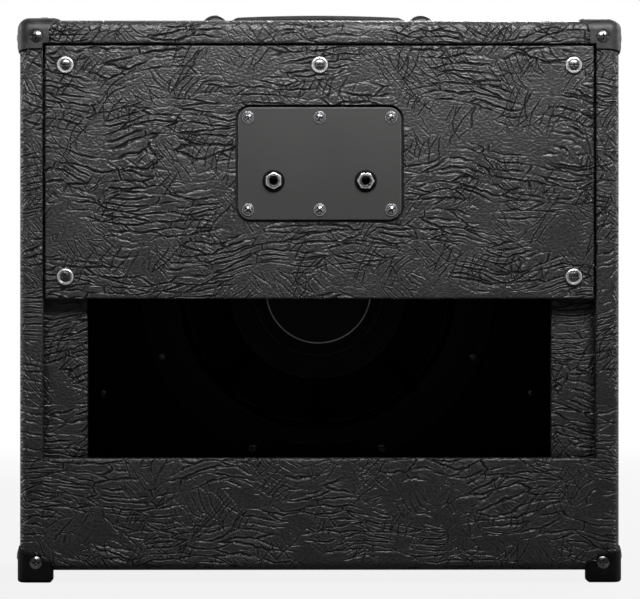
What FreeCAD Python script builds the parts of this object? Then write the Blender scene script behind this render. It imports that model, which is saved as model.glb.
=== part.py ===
"""Open-back guitar speaker cabinet with one 12-inch driver, as separate pieces.

Millimetres. +Z is up, the open back with the jack plate faces -Y, the grille faces +Y and the
origin is under the middle of the cabinet, on the plane that its feet stand on.
"""

import FreeCAD, Part
import math
import os

V = FreeCAD.Vector
REAR = V(0, -1, 0)
FRONT = V(0, 1, 0)
UP = V(0, 0, 1)
DOWN = V(0, 0, -1)

# Driving dimensions: box
body_width = 497.0
body_height = 456.0
body_depth = 254.0
board_thickness = 18.0
vinyl_thickness = 0.8
outer_edge_radius = 8.0
lip_radius = 2.5
foot_height = 10.0
joint_fingers = 7

# Driving dimensions: back
panel_thickness = 12.0
lower_panel_rise = 93.0
mouth_height = 132.0
panel_gap = 1.3
panel_edge_radius = 1.6
cleat_width = 36.0
cleat_thickness = 18.0
panel_screw_inset = 17.0
panel_screw_from_top = 16.3
panel_screw_from_bottom = 18.2
panel_screw_radius = 2.1
panel_screw_length = 28.0
cup_washer_radius = 7.1
cup_washer_height = 2.5
cup_rim_radius = 5.7
cup_bulge = 0.35
cup_bulge_share = 0.78
cup_head_share = 0.74
cup_head_crown = 0.7

# Driving dimensions: screw heads, as shares of each head
cross_arm_share = 0.55
cross_slot_share = 0.2
cross_depth_share = 0.5
dome_shoulder_share = 0.25

# Driving dimensions: front
grille_recess = 11.2
grille_frame_thickness = 12.0
grille_bar_width = 46.0
grille_side_gap = 1.2
grille_edge_radius = 3.0
cloth_thickness = 0.8
baffle_thickness = 15.0
baffle_gap = 0.4
batten_size = 20.0
baffle_screw_radius = 2.0
baffle_screw_length = 30.0
baffle_head_radius = 4.0
baffle_screw_spread = 110.0
baffle_side_screw_spread = 154.0
grille_screw_inset = 38.2
grille_screw_spread = 89.0
grille_screw_radius = 2.0
grille_screw_length = 24.0
grille_head_radius = 4.2
grille_head_height = 2.6

# Driving dimensions: corner protectors
corner_thickness = 2.0
cap_along = 31.0
cap_flat_across = 33.0
cap_side_high = 27.5
cap_face_across = 24.5
cap_face_high = 23.5
foot_leg = 27.0
foot_side_high = 20.3
foot_face_high = 13.4
foot_notch_across = 18.2
foot_notch_high = 7.4
corner_round = 7.0
corner_notch_gap = 0.5
lip_taper = 5.0
lip_end_share = 0.25
cap_face_screw = 13.5
cap_side_screw_along = 19.0
cap_side_screw_high = 14.0
cap_flat_screw_across = 20.0
foot_face_screw_in = 13.5
foot_face_screw_up = 6.5
foot_side_screw_in = 19.0
foot_side_screw_up = 11.5
foot_under_screw_across = 16.0
foot_under_screw_along = 19.0
foot_edge_radius = 3.0
foot_ground_radius = 2.7
corner_screw_radius = 1.8
corner_screw_length = 13.0
corner_dome_radius = 5.2
corner_dome_height = 2.2
dish_radius = 6.0
dish_depth = 0.7
foot_bore_radius = 6.5
foot_bore_depth = 6.0

# Driving dimensions: strap handle
handle_half_length = 71.8
grip_width = 30.0
grip_thickness = 6.0
grip_end_gap = 3.5
grip_arch = 1.8
grip_edge_radius = 2.4
tail_width = 24.0
tail_thickness = 3.0
tail_rise = 4.0
tail_clearance = 0.5
cap_grip_gap = 3.7
cap_end_wall = 7.0
cap_roof = 0.8
cap_width = 36.0
cap_rim_radius = 5.0
handle_bolt_inset = 9.0
handle_bolt_radius = 2.5
handle_head_radius = 4.2
handle_head_height = 3.0
tail_slot_travel = 3.5
tail_end_wall = 2.5
tee_nut_thickness = 1.4
tee_barrel_length = 9.0
tee_flange_ratio = 3.0
handle_barrel_wall = 1.2

# Driving dimensions: jack plate and jacks
plate_width = 135.6
plate_height = 93.6
plate_thickness = 2.0
plate_corner_radius = 10.5
plate_edge_bevel = 0.6
plate_gap = 2.1
plate_sink = 1.5
plate_rise_share = 0.711
plate_screw_inset = 8.5
plate_screw_radius = 1.5
plate_screw_depth = 7.5
plate_dome_radius = 4.2
plate_dome_height = 2.4
plate_flange_radius = 5.5
plate_flange_height = 0.8
plate_flange_bevel = 0.4
plate_screw_turn = 12.0
jack_spread = 38.2
jack_drop = 14.2
jack_access_radius = 17.0
jack_bore_radius = 3.25
jack_mouth_lip = 0.55
jack_mouth_depth = 1.0
jack_bush_radius = 4.75
jack_bush_flange_radius = 6.5
jack_bush_flange = 1.5
jack_nose = 1.0
jack_nut_flats = 12.7
jack_nut_thickness = 2.4
jack_nut_turns = {-1: 30.0, 1: 2.0}
jack_nut_taper_share = 0.55
jack_washer_radius = 9.2
jack_washer_thickness = 1.5
jack_washer_round = 0.9
jack_frame_thickness = 1.2
jack_frame_half_width = 9.0
jack_frame_below = 8.0
jack_leg_rise = 11.0
jack_leg_half_width = 4.0
jack_leg_length = 43.0
jack_stack_start = 31.5
jack_stack_length = 6.0
jack_insulator_below = 2.0
jack_leaf_thickness = 0.5
jack_leaf_rise = 8.0
jack_leaf_half_width = 2.5
jack_leaf_reach = 14.0
jack_leaf_straight = 2.0
jack_nose_reach = 11.0
jack_nose_rise = 2.0
jack_leaf_tip_rise = 3.4
jack_leaf_gap = 0.1
jack_lug_reach = 11.0
link_wire_radius = 0.6

# Driving dimensions: 12-inch driver (lengths run rearward from the flange's front face)
speaker_rise = 4.0
gasket_thickness = 3.0
dish_outer_radius = 134.0
flange_width = 20.5
cutout_gap = 7.0
bolt_circle_out = 14.5
rim_relief_gap = 2.0
bolt_count = 8
bolt_start_angle = 22.5
speaker_bolt_radius = 2.5
bolt_hole_clearance = 0.3
bolt_head_radius = 4.6
bolt_head_height = 3.0
bolt_barrel_wall = 0.8
basket_wall = 1.5
shelf_depth = 10.0
shelf_width = 12.5
seat_radius = 75.5
seat_depth = 63.5
seat_width = 20.0
cup_length = 20.0
window_count = 8
window_rim_width = 7.5
window_seat_width = 4.5
spoke_angle = 8.5
top_plate_radius = 46.0
top_plate_thickness = 6.0
magnet_radius = 50.0
magnet_hole_gap = 5.4
magnet_thickness = 17.0
back_plate_radius = 45.0
back_plate_thickness = 6.0
back_plate_bevel = 1.0
pole_gap = 0.4
pole_vent_radius = 5.0
former_radius = 22.5
former_wall = 0.3
former_neck_reach = 2.0
former_tail = 1.0
winding_thickness = 0.6
winding_length = 12.0
winding_gap = 0.5
coil_hole_gap = 1.0
cone_seat_gap = 9.5
cone_edge_inset = 9.5
cone_wall = 0.9
dust_cap_overlap = 10.5
dust_cap_height = 11.0
dust_cap_wall = 0.6
spider_wall = 0.6
spider_rolls = 3
spider_roll_height = 0.9
spider_neck_width = 6.5
spider_lip_gap = 1.0
surround_wall = 0.6
surround_rolls = 1
surround_roll_height = 0.8
surround_rim_inset = 2.5
strip_rim_gap = 2.0
strip_length = 14.0
strip_half_width = 13.0
strip_thickness = 2.0
blade_spread = 7.0
blade_thickness = 0.8
blade_inset = 4.0
blade_width = 6.3
blade_reach = 16.0

# Driving dimensions: wiring
lead_radius = 1.3
lead_spread = 1.6
lead_ceiling_gap = 0.2
lead_rise_reach = 28.0
lead_drop_reach = 26.0
flexible_lead_radius = 0.6
flexible_lead_rise = 3.0
flexible_lead_out = 6.0
flexible_lead_window = 18.0
flexible_lead_bow = 15.0
flexible_lead_end = 11.0
flexible_end_radius = 52.0
lead_run_shares = (0.15, 0.85)
saddle_shares = (0.32, 0.68)
saddle_half_width = 6.0
saddle_length = 5.0
saddle_wall = 1.4
saddle_clearance = 0.4

# Running and fitting clearances
screw_clearance = 0.1
hole_clearance = 0.2
pilot_spare = 0.5
moving_gap = 0.3

# Places worked out from the dimensions above
half_width = body_width / 2
half_depth = body_depth / 2
body_bottom = foot_height
body_top = foot_height + body_height
rear_plane = -half_depth
front_plane = half_depth
wood_rear = rear_plane + vinyl_thickness
wood_front = front_plane - vinyl_thickness
wall_x = half_width - vinyl_thickness - board_thickness
floor_z = body_bottom + vinyl_thickness + board_thickness
ceiling_z = body_top - vinyl_thickness - board_thickness
rim_x = wall_x - vinyl_thickness
rim_top = ceiling_z - vinyl_thickness
rim_front_bottom = floor_z + vinyl_thickness
mouth_bottom = body_bottom + lower_panel_rise
mouth_top = mouth_bottom + mouth_height
panel_inner = wood_rear + panel_thickness
cleat_rear = panel_inner + vinyl_thickness
cleat_x = wall_x - cleat_width
cleat_cover_x = cleat_x - vinyl_thickness
panel_x = rim_x - panel_gap
panel_top = rim_top - panel_gap
cloth_front = front_plane - grille_recess
grille_face = cloth_front - cloth_thickness
baffle_front = grille_face - grille_frame_thickness
baffle_rear = baffle_front - baffle_thickness
batten_rear = baffle_rear - batten_size
frame_x = rim_x - grille_side_gap - cloth_thickness
frame_top = rim_top - grille_side_gap - cloth_thickness
frame_bottom = rim_front_bottom + grille_side_gap + cloth_thickness
speaker_z = body_bottom + body_height / 2 + speaker_rise
flange_y = baffle_rear - gasket_thickness
speaker_axis = V(0, flange_y, speaker_z)
flange_radius = dish_outer_radius + flange_width
cutout_radius = dish_outer_radius + cutout_gap
bolt_circle_radius = dish_outer_radius + bolt_circle_out
shelf_inner_radius = dish_outer_radius - shelf_width
window_outer_radius = shelf_inner_radius - window_rim_width
window_inner_radius = seat_radius + window_seat_width
cup_radius = seat_radius - seat_width
cup_depth = seat_depth + cup_length
winding_radius = former_radius + winding_thickness
top_plate_hole_radius = winding_radius + winding_gap
coil_hole_radius = top_plate_hole_radius + coil_hole_gap
magnet_hole_radius = top_plate_hole_radius + magnet_hole_gap
pole_radius = former_radius - former_wall - pole_gap
cone_neck_depth = seat_depth - cone_seat_gap
cone_outer_radius = shelf_inner_radius - cone_edge_inset
dust_cap_radius = former_radius + dust_cap_overlap
strip_outer_radius = window_outer_radius - strip_rim_gap
strip_inner_radius = strip_outer_radius - strip_length
blade_inner_radius = strip_inner_radius + blade_inset
blade_middle = blade_inner_radius + blade_width / 2
screw_low_edge = panel_top - panel_screw_from_top - cup_washer_radius
pocket_height = plate_height + 2 * plate_gap
plate_room = screw_low_edge - mouth_top - pocket_height
plate_z = mouth_top + pocket_height / 2 + plate_rise_share * plate_room
pocket_floor = rear_plane + plate_sink + plate_thickness
plate_face = rear_plane + plate_sink
jack_z = plate_z - jack_drop
jack_places = {side: V(side * jack_spread, 0, jack_z) for side in (-1, 1)}

# Smallest length told apart, how far a cutting tool runs past a face, and a length past everything
tiny = 1e-3
past = 1.0
reach = 2 * body_width

# Share of the shorter run that a wire's bend takes up on either side of a corner
bend_share = 0.45


def block(x0, x1, y0, y1, z0, z1):
    """Box between two corners, given in either order."""
    low = V(min(x0, x1), min(y0, y1), min(z0, z1))
    return Part.makeBox(abs(x1 - x0), abs(y1 - y0), abs(z1 - z0), low)


def joined(shapes):
    """One solid out of shapes that touch or overlap."""
    return shapes[0].multiFuse(shapes[1:]).removeSplitter()


def group(shapes):
    """Separate solids kept together under one name."""
    return Part.makeCompound([solid for shape in shapes for solid in shape.Solids])


def outline(points):
    """Closed wire in the XZ plane; a point of four numbers ends an arc through its first two."""
    edges = []
    last = V(points[0][0], 0, points[0][1])
    for point in list(points[1:]) + [points[0]]:
        end = V(point[-2], 0, point[-1])
        if len(point) == 4:
            edges.append(Part.Arc(last, V(point[0], 0, point[1]), end).toShape())
        elif end.distanceToPoint(last) > tiny:
            edges.append(Part.LineSegment(last, end).toShape())
        last = end
    return Part.Wire(edges)


def placed(shape, base, axis, turn=0.0):
    """Copy of a shape drawn along +Z, set on a base point with +Z turned to an axis."""
    copy = shape.copy()
    swing = FreeCAD.Rotation(UP, axis).multiply(FreeCAD.Rotation(UP, turn))
    copy.Placement = FreeCAD.Placement(base, swing)
    return copy


def turned(points, angle=360.0):
    """Solid turned about Z from an outline of (radius, length) points."""
    return Part.Face(outline(points)).revolve(V(), UP, angle)


def driver_turned(points):
    """Solid turned about the driver's axis from (radius, depth behind the flange's face) points."""
    return placed(turned(points), speaker_axis, REAR)


def rod(base, axis, radius, length):
    """Round rod from a base point along an axis."""
    return Part.makeCylinder(radius, length, base, axis)


def screw(shank_radius, length, head, recess=1.0):
    """Cross-head screw along +Z from its head's underside; head is an outline at Z below zero."""
    shape = joined([turned(head), rod(V(), UP, shank_radius, length)])
    crown = min(point[-1] for point in head)
    arm = cross_arm_share * max(point[-2] for point in head)
    slot = cross_slot_share * arm
    depth = recess * abs(crown) * cross_depth_share
    cross = [block(-arm, arm, -slot, slot, crown, crown + depth),
             block(-slot, slot, -arm, arm, crown, crown + depth)]
    return shape.cut(cross).Solids[0]


def crown_middle(radius, base, crown):
    """Middle of the arc from a rim to a crown on the axis, on the ball through both."""
    rise = crown - base
    ball = (radius**2 + rise**2) / (2 * abs(rise))
    angle = math.asin(radius / ball) / 2
    return ball * math.sin(angle), crown - math.copysign(ball - ball * math.cos(angle), rise)


def dome_head(radius, height):
    """Outline of a domed screw head that stands below Z zero."""
    shoulder = -dome_shoulder_share * height
    middle = crown_middle(radius, shoulder, -height)
    return [(0, 0), (radius, 0), (radius, shoulder), (*middle, 0, -height)]


def rim_edges(shape, plane, limit_x, low, high):
    """Edges of a rectangular opening's rim that lie in a plane across Y."""
    picked = []
    for edge in shape.Edges:
        box = edge.BoundBox
        flat = abs(box.YMin - plane) < tiny and abs(box.YMax - plane) < tiny
        beside = box.XMin > -limit_x - tiny and box.XMax < limit_x + tiny
        if flat and beside and box.ZMin > low - tiny and box.ZMax < high + tiny:
            picked.append(edge)
    return picked


def tube(name, points, radius):
    """Round wire along straight runs joined by the largest tangent arcs that the runs allow."""
    edges = []
    radii = []
    last = points[0]
    for before, corner, after in zip(points, points[1:], points[2:]):
        back = (before - corner).normalize()
        ahead = (after - corner).normalize()
        tangent = bend_share * min((before - corner).Length, (after - corner).Length)
        half_turn = (math.pi - back.getAngle(ahead)) / 2
        radii.append(tangent / math.tan(half_turn))
        start = corner + back * tangent
        end = corner + ahead * tangent
        inward = (back + ahead).normalize()
        offset = radii[-1] / math.cos(half_turn) - radii[-1]
        edges.append(Part.LineSegment(last, start).toShape())
        edges.append(Part.Arc(start, corner + inward * offset, end).toShape())
        last = end
    edges.append(Part.LineSegment(last, points[-1]).toShape())
    path = Part.Wire(edges)
    first = points[1] - points[0]
    section = Part.Wire(Part.makeCircle(radius, points[0], first))
    shape = path.makePipeShell([section], True, False)
    plain = math.pi * radius**2 * path.Length
    print(name, "radii", [round(r, 1) for r in radii], "length", round(path.Length, 1),
          "volume ratio", round(shape.Volume / plain, 4))
    return Part.Solid(shape) if shape.ShapeType == "Shell" else shape


# Box: one form of wood, later parted into boards, and one of vinyl round it

def rounded_body(grow, radius):
    """The body's outer box, grown on every side and rounded on every edge."""
    box = block(-half_width - grow, half_width + grow, rear_plane - grow, front_plane + grow,
                body_bottom - grow, body_top + grow)
    return box.makeFillet(radius, box.Edges)


def wood_form():
    """All the box's boards and the lower back panel as one piece."""
    outer = rounded_body(-vinyl_thickness, outer_edge_radius - vinyl_thickness)
    room = block(-wall_x, wall_x, -reach, reach, floor_z, ceiling_z)
    back = block(-wall_x, wall_x, wood_rear, panel_inner, floor_z, mouth_bottom - vinyl_thickness)
    form = joined([outer.cut(room), back])
    lip = lip_radius - vinyl_thickness
    rear_rim = rim_edges(form, wood_rear, wall_x, mouth_bottom - vinyl_thickness, ceiling_z)
    form = form.makeFillet(lip, rear_rim)
    front_rim = rim_edges(form, wood_front, wall_x, floor_z, ceiling_z)
    return form.makeFillet(lip, front_rim)


def vinyl_form():
    """Vinyl round the box, turned in at the mouth, the panel recess and the grille recess."""
    outer = rounded_body(0, outer_edge_radius)
    rear_recess = block(-rim_x, rim_x, rear_plane, panel_inner, mouth_bottom, rim_top)
    front_recess = block(-rim_x, rim_x, baffle_front, front_plane, rim_front_bottom, rim_top)
    form = outer.cut([rear_recess, front_recess])
    form = form.makeFillet(lip_radius, rim_edges(form, rear_plane, rim_x, mouth_bottom, rim_top))
    form = form.makeFillet(
        lip_radius, rim_edges(form, front_plane, rim_x, rim_front_bottom, rim_top))
    room = block(-wall_x, wall_x, panel_inner, baffle_front, floor_z, ceiling_z)
    return form.cut([wood, room])


def finger_bands(first):
    """Depth ranges of every second finger, counted from the rear."""
    step = body_depth / joint_fingers
    return [(rear_plane + i * step, rear_plane + (i + 1) * step)
            for i in range(first, joint_fingers, 2)]


def flat_board(z0, z1):
    """Top or bottom board, with the fingers that reach out through the side boards."""
    zones = [block(-wall_x, wall_x, -reach, reach, z0, z1)]
    zones += [block(-reach, reach, y0, y1, z0, z1) for y0, y1 in finger_bands(0)]
    return wood.cut(lower_panel_zone).common(joined(zones))


def side_board(side):
    """Side board, with its fingers between those of the top and bottom boards."""
    zones = [block(side * wall_x, side * reach, -reach, reach, floor_z, ceiling_z)]
    for y0, y1 in finger_bands(1):
        zones.append(block(side * wall_x, side * reach, y0, y1, -reach, reach))
    return wood.cut(lower_panel_zone).common(joined(zones))


wood = wood_form()
lower_panel_zone = block(-wall_x, wall_x, wood_rear, panel_inner, floor_z, mouth_bottom)
lower_back_panel = wood.common(lower_panel_zone)
top_board = flat_board(ceiling_z, body_top)
bottom_board = flat_board(body_bottom, floor_z)
side_boards = {side: side_board(side) for side in (-1, 1)}
vinyl = vinyl_form()


# Corner protectors: shells over the vinyl's corners, the lower four with feet

body_skin = rounded_body(0, outer_edge_radius)
corner_shell = rounded_body(corner_thickness, outer_edge_radius + corner_thickness).cut(body_skin)


def corner_block(corner, across, along, high):
    """Box in a corner's own measures, inward from the side, the front or rear, and the top or foot."""
    side, end, top = corner
    x = [side * (half_width - u) for u in across]
    y = [end * (half_depth - v) for v in along]
    z = [body_top - w if top > 0 else body_bottom + w for w in high]
    return block(*x, *y, *z)


def corner_point(corner, across, along, high):
    """Point in a corner's own measures."""
    side, end, top = corner
    z = body_top - high if top > 0 else body_bottom + high
    return V(side * (half_width - across), end * (half_depth - along), z)


def corner_inward(corner):
    """Ways inward from a corner's side, its front or rear, and its top or foot."""
    return {"across": V(-corner[0], 0, 0), "along": V(0, -corner[1], 0), "high": V(0, 0, -corner[2])}


def rounded_away(corner, axis, **reaches):
    """Tool that rounds the far corner of one of a protector's plates."""
    out = -corner_thickness - past
    deep = outer_edge_radius
    ranges = {name: (reached - corner_round, reached + past) for name, reached in reaches.items()}
    ranges[axis] = (out, deep)
    centre = {name: reached - corner_round for name, reached in reaches.items()}
    centre[axis] = out
    pin = rod(corner_point(corner, **centre), corner_inward(corner)[axis], corner_round, deep - out)
    return corner_block(corner, **ranges).cut(pin)


def corner_prism(corner, names, measures, axis, length):
    """Prism along one of a corner's ways, from points in its other two measures."""
    out = -corner_thickness - past
    points = [corner_point(corner, **dict(zip(names, pair)), **{axis: out}) for pair in measures]
    base = Part.Face(Part.makePolygon(points + points[:1]))
    return base.extrude(corner_inward(corner)[axis] * (length - out))


def lip_tools(corner, thin, lead, near, far, along):
    """Tools that slant a lip's end round the body's edge and taper it down to the vinyl."""
    out = -corner_thickness
    deep = outer_edge_radius
    slant = [(out - past, near), (deep, far), (deep, far + past), (out - past, far + past)]
    taper = [(out, far - lip_taper), (out * lip_end_share, far + past), (out - past, far + past),
             (out - past, far - lip_taper)]
    return [corner_prism(corner, ("along", lead), slant, thin, deep),
            corner_prism(corner, (thin, lead), taper, "along", along + past)]


def corner_screw_places(corner):
    """Base points on the shell's outer faces, with the way each screw is driven."""
    side, end, top = corner
    out = -corner_thickness
    under = out
    if top > 0:
        across, high = cap_face_screw, cap_face_screw
        side_along, side_high = cap_side_screw_along, cap_side_screw_high
        flat_across, flat_along = cap_flat_screw_across, cap_side_screw_along
    else:
        across, high = foot_face_screw_in, foot_face_screw_up
        side_along, side_high = foot_side_screw_in, foot_side_screw_up
        flat_across, flat_along = foot_under_screw_across, foot_under_screw_along
        under = foot_bore_depth - foot_height - dish_depth
    return [(corner_point(corner, across, out, high), V(0, -end, 0)),
            (corner_point(corner, out, side_along, side_high), V(-side, 0, 0)),
            (corner_point(corner, flat_across, flat_along, under), V(0, 0, -top))]


def corner_protector(corner):
    """One protector: three rounded plates, a dish at each screw and, on the lower ones, a foot."""
    out = -corner_thickness - past
    deep = outer_edge_radius
    if corner[2] > 0:
        along, flat_across, side_high = cap_along, cap_flat_across, cap_side_high
        face_across, face_high = cap_face_across, cap_face_high
        rim = rim_x + corner_notch_gap
        end = corner[1] * (half_depth + corner_thickness + past)
        tools = [block(-rim, rim, end, 0, body_bottom, rim_top + corner_notch_gap)]
        tools += lip_tools(corner, "high", "across", face_across, flat_across, along)
    else:
        along, flat_across, side_high = foot_leg, foot_leg, foot_side_high
        face_across, face_high = foot_leg, foot_face_high
        tools = [corner_block(corner, (foot_notch_across, face_across + past), (out, deep),
                              (foot_notch_high, face_high + past))]
    zones = [corner_block(corner, (out, deep), (out, along), (out, side_high)),
             corner_block(corner, (out, flat_across), (out, along), (out, deep)),
             corner_block(corner, (out, face_across), (out, deep), (out, face_high))]
    shape = corner_shell.common(joined(zones))
    tools += lip_tools(corner, "across", "high", face_high, side_high, along)
    tools += [rounded_away(corner, "across", along=along, high=side_high),
              rounded_away(corner, "high", along=along, across=flat_across)]
    shape = shape.cut(tools)
    if corner[2] < 0:
        shape = joined([shape, foot(corner)])
    for base, way in corner_screw_places(corner):
        shape = shape.cut([rod(base, way, dish_radius, dish_depth),
                           rod(base, way, corner_screw_radius + screw_clearance, reach)])
    if corner[2] < 0:
        bore_base = corner_point(corner, foot_under_screw_across, foot_under_screw_along, -foot_height)
        shape = shape.cut(rod(bore_base, UP, foot_bore_radius, foot_bore_depth))
    return shape


def upright_edges(shape, at):
    """Edges that stand straight up over or under a point."""
    picked = []
    for edge in shape.Edges:
        box = edge.BoundBox
        straight = box.ZLength > tiny and box.XLength < tiny and box.YLength < tiny
        if straight and math.hypot(box.XMin - at.x, box.YMin - at.y) < tiny:
            picked.append(edge)
    return picked


def foot(corner):
    """Block under a lower protector, flush with its sides and rounded where it meets the ground."""
    out = -corner_thickness
    shape = corner_block(corner, (out, foot_leg), (out, foot_leg), (-foot_height, outer_edge_radius))
    rounds = [(foot_leg, foot_leg, foot_edge_radius), (out, foot_leg, foot_edge_radius),
              (foot_leg, out, foot_edge_radius), (out, out, outer_edge_radius + corner_thickness)]
    for across, along, radius in rounds:
        shape = shape.makeFillet(radius, upright_edges(shape, corner_point(corner, across, along, 0)))
    ground = [e for e in shape.Edges if e.BoundBox.ZMax < tiny]
    return shape.makeFillet(foot_ground_radius, ground).cut(body_skin)


corners = [(side, end, top) for top in (1, -1) for end in (-1, 1) for side in (-1, 1)]
corner_caps = [corner_protector(corner) for corner in corners if corner[2] > 0]
corner_feet = [corner_protector(corner) for corner in corners if corner[2] < 0]
corner_screw = screw(corner_screw_radius, corner_screw_length,
                     dome_head(corner_dome_radius, corner_dome_height))
corner_screws = []
corner_holes = []
for corner in corners:
    for base, way in corner_screw_places(corner):
        seat = base + way * dish_depth
        corner_screws.append(placed(corner_screw, seat, way))
        corner_holes.append(rod(base, way, corner_screw_radius + screw_clearance,
                                corner_screw_length + dish_depth + screw_clearance))


# Strap handle: caps bolted through the top board, an arched grip and its two flat tails

def handle_cap(side):
    """Moulded half-round end cap with a cavity that the strap's tail slides in."""
    middle = (cap_inner_end + cap_outer_end) / 2
    crown = (side * middle, body_top + cap_height)
    profile = outline([(side * cap_inner_end, body_top), (*crown, side * cap_outer_end, body_top)])
    shape = Part.Face(profile).extrude(V(0, cap_width, 0))
    shape.translate(V(0, -cap_width / 2, 0))
    rims = [e for e in shape.Edges if e.BoundBox.ZLength > cap_height / 2]
    shape = shape.makeFillet(cap_rim_radius, rims)
    half = tail_width / 2 + tail_clearance
    cavity = block(side * (cap_inner_end - past), side * (tail_end + tail_clearance), -half, half,
                   tail_bottom - tail_clearance, tail_bottom + tail_thickness + tail_clearance)
    bolt = V(side * handle_bolt_x, 0, body_top)
    return shape.cut([cavity, rod(bolt, UP, handle_bolt_radius + hole_clearance, reach),
                      rod(V(bolt.x, 0, handle_head_seat), UP, handle_head_radius + hole_clearance,
                          reach)])


def handle_grip():
    """Moulded grip: a low arch with rounded edges."""
    low = body_top + grip_end_gap
    high = low + grip_thickness
    half = handle_half_length
    arch = outline([(-half, low), (0, low + grip_arch, half, low), (half, high),
                    (0, high + grip_arch, -half, high)])
    shape = Part.Face(arch).extrude(V(0, grip_width, 0))
    shape.translate(V(0, -grip_width / 2, 0))
    long_edges = [e for e in shape.Edges if e.BoundBox.XLength > half]
    return shape.makeFillet(grip_edge_radius, long_edges)


def handle_tail(side):
    """Flat end of the strap, slotted where the bolt passes so that it can slide out of its cap."""
    strip = block(side * handle_half_length, side * tail_end, -tail_width / 2, tail_width / 2,
                  tail_bottom, tail_bottom + tail_thickness)
    half = handle_bolt_radius + hole_clearance
    slot = block(side * handle_bolt_x, side * (handle_bolt_x + tail_slot_travel), -half, half,
                 tail_bottom - past, body_top + cap_height)
    ends = [rod(V(side * x, 0, body_top), UP, half, cap_height)
            for x in (handle_bolt_x, handle_bolt_x + tail_slot_travel)]
    return strip.cut([slot] + ends)


cap_inner_end = handle_half_length + cap_grip_gap
handle_bolt_x = cap_inner_end + handle_bolt_inset
tail_bottom = body_top + tail_rise
tail_end = handle_bolt_x + tail_slot_travel + handle_bolt_radius + tail_end_wall
cap_outer_end = tail_end + tail_clearance + cap_end_wall
handle_head_seat = tail_bottom + tail_thickness + tail_clearance + cap_roof
cap_height = handle_head_seat + handle_head_height - body_top
handle_bolt_length = handle_head_seat - ceiling_z
handle_bolt = screw(handle_bolt_radius, handle_bolt_length,
                    dome_head(handle_head_radius, handle_head_height))
handle_barrel_radius = handle_bolt_radius + handle_barrel_wall


def tee_nut(bolt_radius, barrel_radius):
    """Pronged nut: a flange at Z zero and a barrel that is driven into the wood above it."""
    bore = bolt_radius + screw_clearance
    flange = tee_flange_ratio * bolt_radius
    end = tee_nut_thickness + tee_barrel_length
    return turned([(bore, 0), (flange, 0), (flange, tee_nut_thickness), (barrel_radius, tee_nut_thickness),
                   (barrel_radius, end), (bore, end)])


handle_tee_nut = tee_nut(handle_bolt_radius, handle_barrel_radius)
handle_bolts = []
handle_tee_nuts = []
handle_holes = []
for side in (-1, 1):
    axis_x = side * handle_bolt_x
    handle_bolts.append(placed(handle_bolt, V(axis_x, 0, handle_head_seat), DOWN))
    handle_tee_nuts.append(placed(handle_tee_nut, V(axis_x, 0, ceiling_z - tee_nut_thickness), UP))
    handle_holes.append(rod(V(axis_x, 0, ceiling_z - past), UP, handle_barrel_radius + screw_clearance,
                            tee_barrel_length + past))
    handle_holes.append(rod(V(axis_x, 0, ceiling_z), UP, handle_bolt_radius + hole_clearance,
                            board_thickness + 2 * vinyl_thickness))
box_holes = corner_holes + handle_holes


# Back: cleats, removable panel with its own vinyl, cup washers and screws

def panel_blank(inset, radius, front):
    """Upper panel's outline less an inset, with its rear edges rounded."""
    shape = block(-panel_x + inset, panel_x - inset, rear_plane + inset, front,
                  mouth_top + inset, panel_top - inset)
    rear = [e for e in shape.Edges if e.BoundBox.YMax < rear_plane + inset + tiny]
    return shape.makeFillet(radius, rear)


def plate_slab(grow, y0, y1):
    """Round-cornered slab over the jack plate's outline, grown on every side."""
    half_w = plate_width / 2 + grow
    half_h = plate_height / 2 + grow
    shape = block(-half_w, half_w, y0, y1, plate_z - half_h, plate_z + half_h)
    across = [e for e in shape.Edges if e.BoundBox.YLength > tiny]
    return shape.makeFillet(plate_corner_radius + grow, across)


def panel_screw_places():
    """Where the removable panel is screwed to the cleats."""
    x = panel_x - panel_screw_inset
    high = panel_top - panel_screw_from_top
    low = mouth_top + panel_screw_from_bottom
    return [V(px, rear_plane, pz) for px, pz in ((-x, high), (0, high), (x, high), (-x, low), (x, low))]


def cup_washer_outline():
    """Section of a pressed cup washer, its foot at Z zero and its rim below."""
    rim = -cup_washer_height
    bulge = ((cup_washer_radius + cup_rim_radius) / 2 + cup_bulge, cup_bulge_share * rim)
    return [(cup_hole_radius, 0), (cup_washer_radius, 0), (*bulge, cup_rim_radius, rim)]


def cup_screw_outline():
    """Section of a raised countersunk head that seats in the cup washer."""
    slope = (cup_rim_radius - cup_hole_radius) / cup_washer_height
    head_radius = cup_head_share * cup_rim_radius
    edge = -(head_radius - cup_hole_radius) / slope - screw_clearance
    foot_z = (cup_hole_radius - panel_screw_radius) / slope - screw_clearance
    crown = edge - cup_head_crown
    return [(0, foot_z), (panel_screw_radius, foot_z), (head_radius, edge),
            (*crown_middle(head_radius, edge, crown), 0, crown)]


panel_screws_at = panel_screw_places()
cup_hole_radius = panel_screw_radius + hole_clearance
panel_screw = screw(panel_screw_radius, panel_screw_length, cup_screw_outline(), 0.6)
panel_screws = [placed(panel_screw, base, FRONT) for base in panel_screws_at]
cup_washers = [placed(turned(cup_washer_outline()), base, FRONT) for base in panel_screws_at]
panel_pilots = [rod(base, FRONT, panel_screw_radius + screw_clearance, panel_screw_length + pilot_spare)
                for base in panel_screws_at]
panel_clearance = [rod(base, FRONT, cup_hole_radius, panel_inner - rear_plane)
                   for base in panel_screws_at]

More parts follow.
